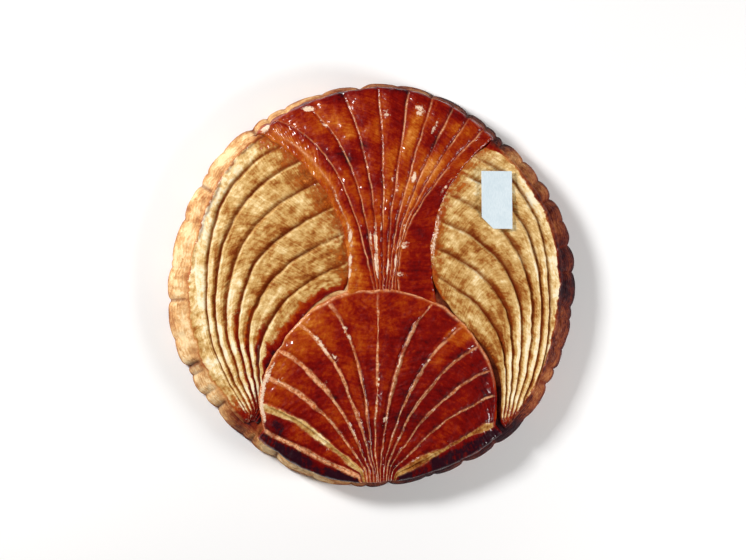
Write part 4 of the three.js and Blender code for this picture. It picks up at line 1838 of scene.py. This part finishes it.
@dataclass
class Studio:
    """Floor, soft lights, walls that are pale low down and dark overhead, and a camera straight above."""

    floor_side: float = 8.0
    view_width: float = 0.5089
    view_centre: tuple = (0.0014, 0.0038)
    lens: float = 400.0
    farthest: float = 50.0
    focus_height: float = 0.022
    walls: tuple = (1.0, 0.86, 0.74, 1.0)
    horizon: float = 0.55
    overhead: float = 0.06
    horizon_top: tuple = (0.1, 0.45)  # upward part of the directions between which the walls turn dark

    def build(self) -> None:
        """Makes the floor, the lights, the surroundings and the camera."""
        self.lay_floor()
        for lamp in Lamp:
            self.light(*lamp.value)
        self.surround()
        self.set_camera()
        bpy.context.scene.view_settings.view_transform = "Standard"

    def lay_floor(self) -> None:
        """Lays the plain floor, which isn't part of the pie."""
        work = bmesh.new()
        bmesh.ops.create_grid(work, x_segments=1, y_segments=1, size=self.floor_side / 2)
        mesh = settle(work, "floor")
        mesh.materials.append(PaleFloor().build())
        floor = bpy.data.objects.new("floor", mesh)
        bpy.context.scene.collection.objects.link(floor)

    def set_camera(self) -> None:
        """Hangs the camera straight above the pie, as far off as its lens asks for."""
        data = bpy.data.cameras.new("camera")
        data.lens = self.lens
        data.clip_end = self.farthest
        camera = bpy.data.objects.new("camera", data)
        distance = self.view_width * self.lens / data.sensor_width
        camera.location = (*self.view_centre, self.focus_height + distance)
        bpy.context.scene.collection.objects.link(camera)
        bpy.context.scene.camera = camera

    def surround(self) -> None:
        """Makes the world: pale near the horizon, dark overhead."""
        world = bpy.data.worlds.new("studio")
        world.use_nodes = True
        tree = world.node_tree
        background = tree.nodes["Background"]
        background.inputs["Color"].default_value = self.walls
        place = tree.nodes.new("ShaderNodeTexCoord")
        parts = tree.nodes.new("ShaderNodeSeparateXYZ")
        fall = tree.nodes.new("ShaderNodeMapRange")
        fall.interpolation_type = "SMOOTHSTEP"
        ends = (*self.horizon_top, self.horizon, self.overhead)
        for key, value in zip(("From Min", "From Max", "To Min", "To Max"), ends):
            fall.inputs[key].default_value = value
        tree.links.new(place.outputs["Generated"], parts.inputs[0])
        tree.links.new(parts.outputs["Z"], fall.inputs["Value"])
        tree.links.new(fall.outputs["Result"], background.inputs["Strength"])
        bpy.context.scene.world = world

    def light(self, name: str, place: tuple, size: float, power: float) -> None:
        """Adds a soft square light that faces the pie.

        Args:
            name: its name.
            place: where it hangs, in metres.
            size: its side, in metres.
            power: its power, in watts.
        """
        data = bpy.data.lights.new(name, "AREA")
        data.size = size
        data.energy = power
        lamp = bpy.data.objects.new(name, data)
        turn = Vector(place).to_track_quat("Z", "Y").to_matrix().to_4x4()
        lamp.matrix_world = Matrix.Translation(place) @ turn
        bpy.context.scene.collection.objects.link(lamp)


# ------------------------------------------------------------------------------------------ all together
LEFT_WING = (
    Guide(0, ((-89, -87), (-138, -18), (-129, 75), (-71, 102))),
    Guide(2, ((-86, -86), (-122, -22), (-115, 62), (-42, 86))),
    Guide(4, ((-84, -84), (-101, -7), (-90, 26), (-21, 55))),
    Guide(7, ((-80, -82), (-71, -53), (-39, -1), (-19, -5))),
)
RIGHT_WING = (
    Guide(0, ((96, -97), (143, -49), (137, 75), (77, 94))),
    Guide(2, ((94, -96), (132, -25), (120, 55), (58, 76))),
    Guide(4, ((92, -95), (112, -16), (101, 23), (42, 45))),
    Guide(7, ((88, -94), (91, -46), (74, -44), (48, -11))),
)
FAN = (
    Guide(0, ((2, -8), (-13, 60), (-28, 107), (-80, 116))),
    Guide(4, ((9, -8), (10, 45), (18, 80), (25, 137))),
    Guide(8, ((18, -8), (12, 31), (33, 65), (82, 112))),
)
SHELL = (
    Guide(1, ((1, 0), (5, 37), (12, 97), (37, 117))),
    Guide(3, ((4, 0), (20, 44), (42, 75), (70, 87))),
    Guide(6, ((7, 0), (50, 16), (54, 24), (84, 32))),
)


@dataclass
class Galette:
    """The whole pie with its card."""

    panels: list = field(
        default_factory=lambda: [
            Wing("galette_left_wing", LEFT_WING, -1.0, 7.0, depth=2.4, lift=0.0, strips=(0, 6), drape=5.0,
                 maroon_hem=True, focus_shift=(7.0, -8.0)),
            Fan("galette_fan", FAN, -1.0, 9.0, depth=1.9, lift=0.7, strips=(-1, 8), start=-0.1, drape=13.0,
                bare_from=8.5, tuck=4.0),
            Shell("galette_shell", SHELL, -7.0, 7.0, depth=2.2, lift=1.2, strips=(-7, 6), start=0.004,
                  drape=9.0, bare_from=4.0),
            Wing("galette_right_wing", RIGHT_WING, -1.0, 7.0, depth=2.4, lift=1.8, strips=(0, 6), drape=6.0,
                 bare_from=-0.5, bare_line=0.1, focus_shift=(-1.0, -5.0), bright=1.0),
        ]
    )

    def build(self) -> None:
        """Builds all pieces and reports each of them."""
        pastry = Pastry("baked_pastry").build()
        pieces = [Dough().build(pastry)]
        pieces += [panel.build(pastry) for panel in self.panels]
        pieces.append(LabelCard().build(CardStock().build(), pieces))
        for piece in pieces:
            LOG.info("%s: %d faces", piece.name, len(piece.data.polygons))


def main() -> None:
    """Builds the studio and the pie."""
    logging.basicConfig(level=logging.INFO, format="%(message)s")
    Studio().build()
    Galette().build()


if __name__ == "__main__":
    main()
